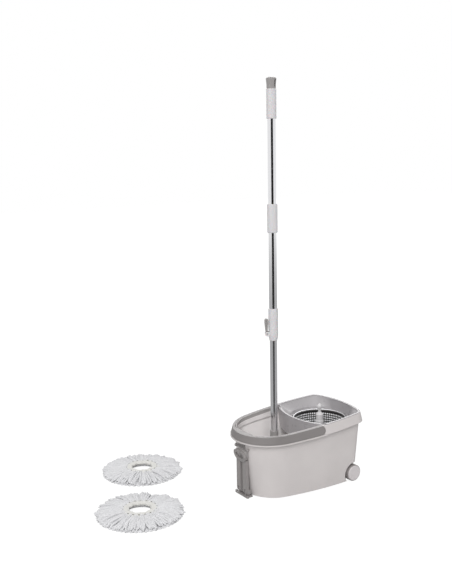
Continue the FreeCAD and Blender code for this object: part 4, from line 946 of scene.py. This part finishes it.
@dataclass
class Studio:
    """A white room with soft boxes, and a black card before the object that only mirrors see."""

    azimuth: float = -32.487
    pitch: float = 9.786
    roll: float = -1.055
    place: tuple[float, float, float] = (-1.7043, -2.1150, 1.0871)
    lens: float = 52.40
    sensor: float = 36.0
    daylight: float = 0.36
    pole_x: float = -0.1847
    card_radius: float = 1.15
    card_height: float = 3.2
    card_reach: float = 31.0
    card_shift: float = 6.0
    foot_card_start: float = 0.35
    grey_floor_end: float = 2.0
    white_floor_start: float = 9.0
    near_floor: float = 0.47
    floor_half: float = 12.0
    floor_glow: float = 1.11
    glow_share: float = 0.80
    card_low: str = "6A6A6A"
    card_high: str = "2A2A2A"
    card_dark_from: float = 0.5
    aim: tuple[float, float, float] = (-0.15, 0.0, 0.2)
    shadow_reach: float = 1.2
    shadow_end: float = 3.0

    def axes(self) -> tuple[Vector, Vector, Vector]:
        """The camera's right, up and back directions."""
        turn, dip, lean = (math.radians(angle) for angle in (self.azimuth, self.pitch, self.roll))
        back = Vector((math.sin(turn) * math.cos(dip), -math.cos(turn) * math.cos(dip), math.sin(dip)))
        right = Vector((math.cos(turn), math.sin(turn), 0))
        up = back.cross(right)
        return (right * math.cos(lean) + up * math.sin(lean),
                up * math.cos(lean) - right * math.sin(lean), back)

    def camera(self) -> None:
        """Makes the camera."""
        right, up, back = self.axes()
        data = bpy.data.cameras.new("studio_camera")
        data.lens = self.lens
        data.sensor_width = self.sensor
        data.clip_end = 60
        camera = bpy.data.objects.new("studio_camera", data)
        turn = Matrix((right, up, back)).transposed().to_4x4()
        camera.matrix_world = Matrix.Translation(self.place) @ turn
        bpy.context.scene.collection.objects.link(camera)
        bpy.context.scene.camera = camera

    def world(self) -> None:
        """A white room, plain white where it is looked at or mirrored."""
        world = bpy.data.worlds.new("white_room")
        bpy.context.scene.world = world
        world.use_nodes = True
        tree = world.node_tree
        tree.nodes.clear()
        path = add(tree, "ShaderNodeLightPath")
        room = add(tree, "ShaderNodeBackground", {"Color": (1, 1, 1, 1), "Strength": self.daylight})
        backdrop = add(tree, "ShaderNodeBackground", {"Color": (1, 1, 1, 1), "Strength": 1.0})
        looked_at = add(tree, "ShaderNodeMath", {}, {0: path.outputs["Is Camera Ray"],
                                                     1: path.outputs["Is Glossy Ray"]}, operation="MAXIMUM")
        seen = add(tree, "ShaderNodeMixShader", {}, {0: looked_at.outputs["Value"],
                                                     1: room.outputs["Background"],
                                                     2: backdrop.outputs["Background"]})
        add(tree, "ShaderNodeOutputWorld", links={"Surface": seen.outputs["Shader"]})

    def floor(self) -> None:
        """A pale floor that keeps a soft shadow and is otherwise plain white where it is looked at."""
        mesh = bpy.data.meshes.new("studio_floor")
        half = self.floor_half
        mesh.from_pydata([(-half, -half, 0), (half, -half, 0), (half, half, 0), (-half, half, 0)], [],
                         [(0, 1, 2, 3)])
        floor = bpy.data.objects.new("studio_floor", mesh)
        floor.location.z = -0.2 * MM
        bpy.context.scene.collection.objects.link(floor)
        material, tree = empty_material("painted_sweep")
        paint = add(tree, "ShaderNodeBsdfDiffuse", {"Color": linear("F0F0F0")})
        glow = add(tree, "ShaderNodeEmission", {"Color": (1, 1, 1, 1), "Strength": self.floor_glow})
        path = add(tree, "ShaderNodeLightPath")
        place = add(tree, "ShaderNodeTexCoord").outputs["Object"]
        reach = add(tree, "ShaderNodeVectorMath", {}, {0: place}, operation="LENGTH")
        clear = add(tree, "ShaderNodeMapRange", {
            "From Min": self.shadow_reach, "From Max": self.shadow_end,
            "To Min": self.glow_share, "To Max": 1.0},
            {"Value": reach.outputs["Value"]}, interpolation_type="SMOOTHSTEP")
        share = add(tree, "ShaderNodeMath", {},
                    {0: path.outputs["Is Camera Ray"], 1: clear.outputs["Result"]}, operation="MULTIPLY")
        seen = add(tree, "ShaderNodeMixShader", {}, {0: share.outputs["Value"], 1: paint.outputs["BSDF"],
                                                     2: glow.outputs["Emission"]})
        both = add(tree, "ShaderNodeMixShader", {}, {0: path.outputs["Is Glossy Ray"],
                                                     1: seen.outputs["Shader"],
                                                     2: self.mirrored_floor(tree)})
        finish_surface(tree, both.outputs["Shader"])
        mesh.materials.append(material)

    def mirrored_floor(self, tree: bpy.types.NodeTree) -> bpy.types.NodeSocket:
        """The floor as the tubes mirror it: a glow that is white far off, and grey near the object as painted
        shade for the object's shadow.

        Args:
            tree: the floor's material.

        Returns:
            The shader's socket.
        """
        place = add(tree, "ShaderNodeTexCoord").outputs["Object"]
        reach = add(tree, "ShaderNodeVectorMath", {}, {0: place}, operation="LENGTH")
        # painted shade: the mirrored floor glows dimmer near the object
        shade = add(tree, "ShaderNodeMapRange", {
            "From Min": self.grey_floor_end, "From Max": self.white_floor_start,
            "To Min": self.near_floor, "To Max": 1.0}, {"Value": reach.outputs["Value"]},
            interpolation_type="SMOOTHSTEP")
        return add(tree, "ShaderNodeEmission", {"Color": (1, 1, 1, 1)},
                   {"Strength": shade.outputs["Result"]}).outputs["Emission"]

    def black_card(self) -> None:
        """A black card between camera and object, lying and then standing, that darkens the tubes' middle."""
        back = self.axes()[2]
        middle = math.atan2(back.y, back.x) + math.radians(self.card_shift)
        reach = math.radians(self.card_reach)
        steps = 24
        rows = []
        for radius, height in ((self.foot_card_start, 0.0), (self.card_radius, 0.0),
                               (self.card_radius, self.card_height)):
            turns = [middle + reach * (2 * step / steps - 1) for step in range(steps + 1)]
            rows.append([Vector((self.pole_x + radius * math.cos(turn), radius * math.sin(turn), height))
                         for turn in turns])
        mesh = grid_mesh("black_card", rows, False, False)
        card = bpy.data.objects.new("black_card", mesh)
        bpy.context.scene.collection.objects.link(card)
        material, tree = empty_material("matt_black_card")
        place = add(tree, "ShaderNodeTexCoord").outputs["Object"]
        height = add(tree, "ShaderNodeSeparateXYZ", links={"Vector": place}).outputs["Z"]
        share = add(tree, "ShaderNodeMapRange", {"From Min": 0.0, "From Max": self.card_dark_from},
                    {"Value": height})
        tone = add(tree, "ShaderNodeMix", {"A": linear(self.card_low), "B": linear(self.card_high)},
                   {"Factor": share.outputs["Result"]}, data_type="RGBA")
        felt = add(tree, "ShaderNodeBsdfDiffuse", links={"Color": tone.outputs["Result"]})
        finish_surface(tree, felt.outputs["BSDF"])
        mesh.materials.append(material)
        card.visible_camera = False
        card.visible_diffuse = False
        card.visible_shadow = False
        card.visible_transmission = False

    def softbox(self, name: str, place: tuple[float, float, float], aim: tuple[float, float, float],
                side: float, power: float) -> None:
        """Hangs a square area lamp.

        Args:
            name: the lamp's name.
            place: where it hangs.
            aim: the point that it faces.
            side: its edge length.
            power: its power in watts.
        """
        data = bpy.data.lights.new(name, "AREA")
        data.shape = "SQUARE"
        data.size = side
        data.energy = power
        lamp = bpy.data.objects.new(name, data)
        lamp.location = place
        lamp.rotation_euler = (Vector(aim) - Vector(place)).to_track_quat("-Z", "Y").to_euler()
        bpy.context.scene.collection.objects.link(lamp)

    def build(self) -> None:
        """Sets up camera, room, floor, card and lamps."""
        self.camera()
        self.world()
        self.floor()
        self.black_card()
        self.softbox("key_softbox", (-5.07, -5.87, 6.63), self.aim, 5.6, 765)
        self.softbox("fill_softbox", (2.5, 3.4, 3.6), self.aim, 3.4, 110)
        self.softbox("top_softbox", (-0.3, 0.2, 4.2), self.aim, 3.0, 12)
        bpy.context.scene.view_settings.view_transform = "Standard"
        LOG.info("studio ready")


# ---------------------------------------------------------------- build

def dress_cad() -> None:
    """Gives every CAD node its finish."""
    for finish, nodes in CAD_FINISHES.items():
        for node in nodes:
            FINISHES.dress(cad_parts[node], finish)
            LOG.info("%s: %s", node, finish.name)


def main() -> None:
    """Builds the studio, then each part of the object in order."""
    logging.basicConfig(level=logging.INFO, format="%(message)s")
    Studio().build()
    dress_cad()
    builders: list[Callable[[], None]] = [
        WringerBasket().build,
        SpareHead("a", seed=3).build,
        SpareHead("b", seed=11).build,
    ]
    for build in builders:
        build()


if __name__ == "__main__":
    main()
